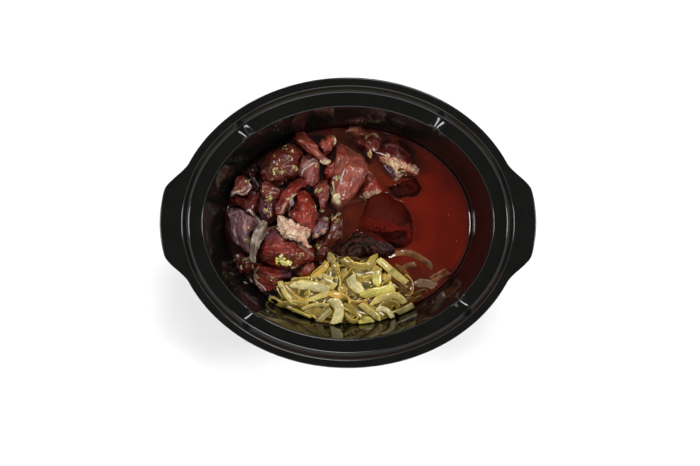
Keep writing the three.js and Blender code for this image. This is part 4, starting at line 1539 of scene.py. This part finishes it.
def make_top_slices(material, soaked, chance):
    """The slices placed one by one, with those soaked in sauce in their own duller material."""
    clean, sauced = [], []
    for tone, width, lift, roll, places in TOP_SLICES:
        heights = [Vector((x * MM, y * MM, heap_crown(x * MM, y * MM) + lift * MM)) for x, y in places]
        path = smooth_path(heights, 1.0 * MM)
        wide = SLICE_WIDENING * width * MM
        if tone is SOAKED_ONION:
            sauced.append(slice_mesh(path, wide, roll, tone, chance, SOAKED_RIM))
        else:
            clean.append(slice_mesh(path, wide, roll, tone, chance))
    stands_for(join_slices("onion_top_slices", clean, material), "soft_onion")
    stands_for(join_slices("soaked_slices", sauced, soaked), "soft_onion")


def make_onions(material, soaked):
    chance = random.Random(31)
    make_onion_core(material)
    make_fillers(material, chance)
    make_top_slices(material, soaked, chance)


# The slices that float in the sauce: node, tone, width, roll and places, with the rise over the sauce.
LOOSE_SLICES = [
    ("onion_slice_1", srgb(158, 104, 50), 6, 0,
        [(38, -32.5, 5.5), (45.5, -29.5, 3), (57, -28.5, 1), (68, -32, 0.5), (76.5, -37.5, 0.5),
         (82.5, -43, 1)]),
    ("onion_slice_2", srgb(156, 104, 62), 5, 0, [(50.5, -45.5, 0.5), (57.5, -41.5, 0.5), (66, -39.5, 1)]),
    ("onion_slice_3", srgb(184, 142, 108), 9, 0, [(64, -58.5, 0.5), (75, -58.5, 0.5), (86, -61, 0.5)]),
    ("onion_slice_4", srgb(170, 96, 52), 8.5, 22, [(82, -55.5, -0.5), (90, -50.5, 3), (97, -46.5, 6)]),
]


# The slices half sunk beside the heap: tone, width and places, with the rise over the sauce.
SUNKEN_SLICES = [
    (BROWN_ONION, 4, [(64, -70, 0), (70, -67.5, 0.3), (77, -65, 0)]),
    (BROWN_ONION, 6, [(44, -54.5, 3), (50.5, -62, 2), (53.5, -70, 1.5)]),
    (OLIVE_ONION, 3, [(53.5, -60, 3), (57.5, -59.5, 3.4), (59.5, -63, 3), (56, -65.5, 2.6)]),
    (BROWN_ONION, 4, [(58, -76, 1), (66, -74, 0.6), (73, -71, 0.2)]),
]
LOOSE_RIM = srgb(140, 84, 50)


def make_loose_slices(material):
    chance = random.Random(41)
    for node, tone, width, roll, places in LOOSE_SLICES:
        path = smooth_path([on_sauce(*place) for place in places], 0.8 * MM)
        one = slice_mesh(path, width * MM, roll, tone, chance, LOOSE_RIM, 0.06)
        stands_for(join_slices(f"{node}_cooked", [one], material), "soft_onion", node)
    slices = []
    for tone, width, places in SUNKEN_SLICES:
        path = smooth_path([on_sauce(*place) for place in places], 1 * MM)
        slices.append(slice_mesh(path, width * MM, 10, tone, chance, GOLD_ONION, 0.06))
    stands_for(join_slices("sunken_slices", slices, material), "soft_onion")


# ---- Putting it together ----

make_camera()
make_stage()
make_world()
make_lights()

make_pot(glaze_material())
lamb = food_material(
    "raw_lamb", 0.45, 800, 0.5, 0.6 * MM, (0.35, 0.85), coat=0.45, subsurface=0.1, shine=0.2
)
make_lamb(lamb)
find = surface_finder(solid_tree(("_flesh",)))
skin = food_material("membrane", 0.3, 1100, 0.3, 0.3 * MM, (0.5, 0.9), coat=0.2)
make_ribbons(skin, find)
make_fat_lumps(skin, find)
make_garlic(food_material("garlic", 0.45, 1400, 0.3, 0.3 * MM, (0.75, 1.0), shine=0.3), find)
paste = food_material("tomato_paste", 0.55, 1500, 0.5, 0.4 * MM, (0.5, 0.95), shine=0.04)
make_tomato_paste(paste)
make_paste_dab(paste)
curry = food_material("curry_paste", 0.42, 1200, 0.5, 0.5 * MM, (0.35, 0.8), coat=0.02, shine=0.14)
make_curry_paste(curry)
onion = food_material(
    "soft_onion", 0.32, 420, 0.2, 0.3 * MM, (0.52, 0.86), coat=0.7, subsurface=0.1, shine=0.2
)
soaked = food_material("soaked_onion", 0.45, 420, 0.3, 0.3 * MM, (0.45, 0.85), coat=0.12, shine=0.12)
make_onions(onion, soaked)
make_browned_bits(onion)
make_loose_slices(onion)
make_sauce(sauce_material(), solid_tree(("_flesh", "_scoop", "_lump", "_cooked")))
make_specks(onion)

bpy.context.scene.view_settings.view_transform = "Standard"
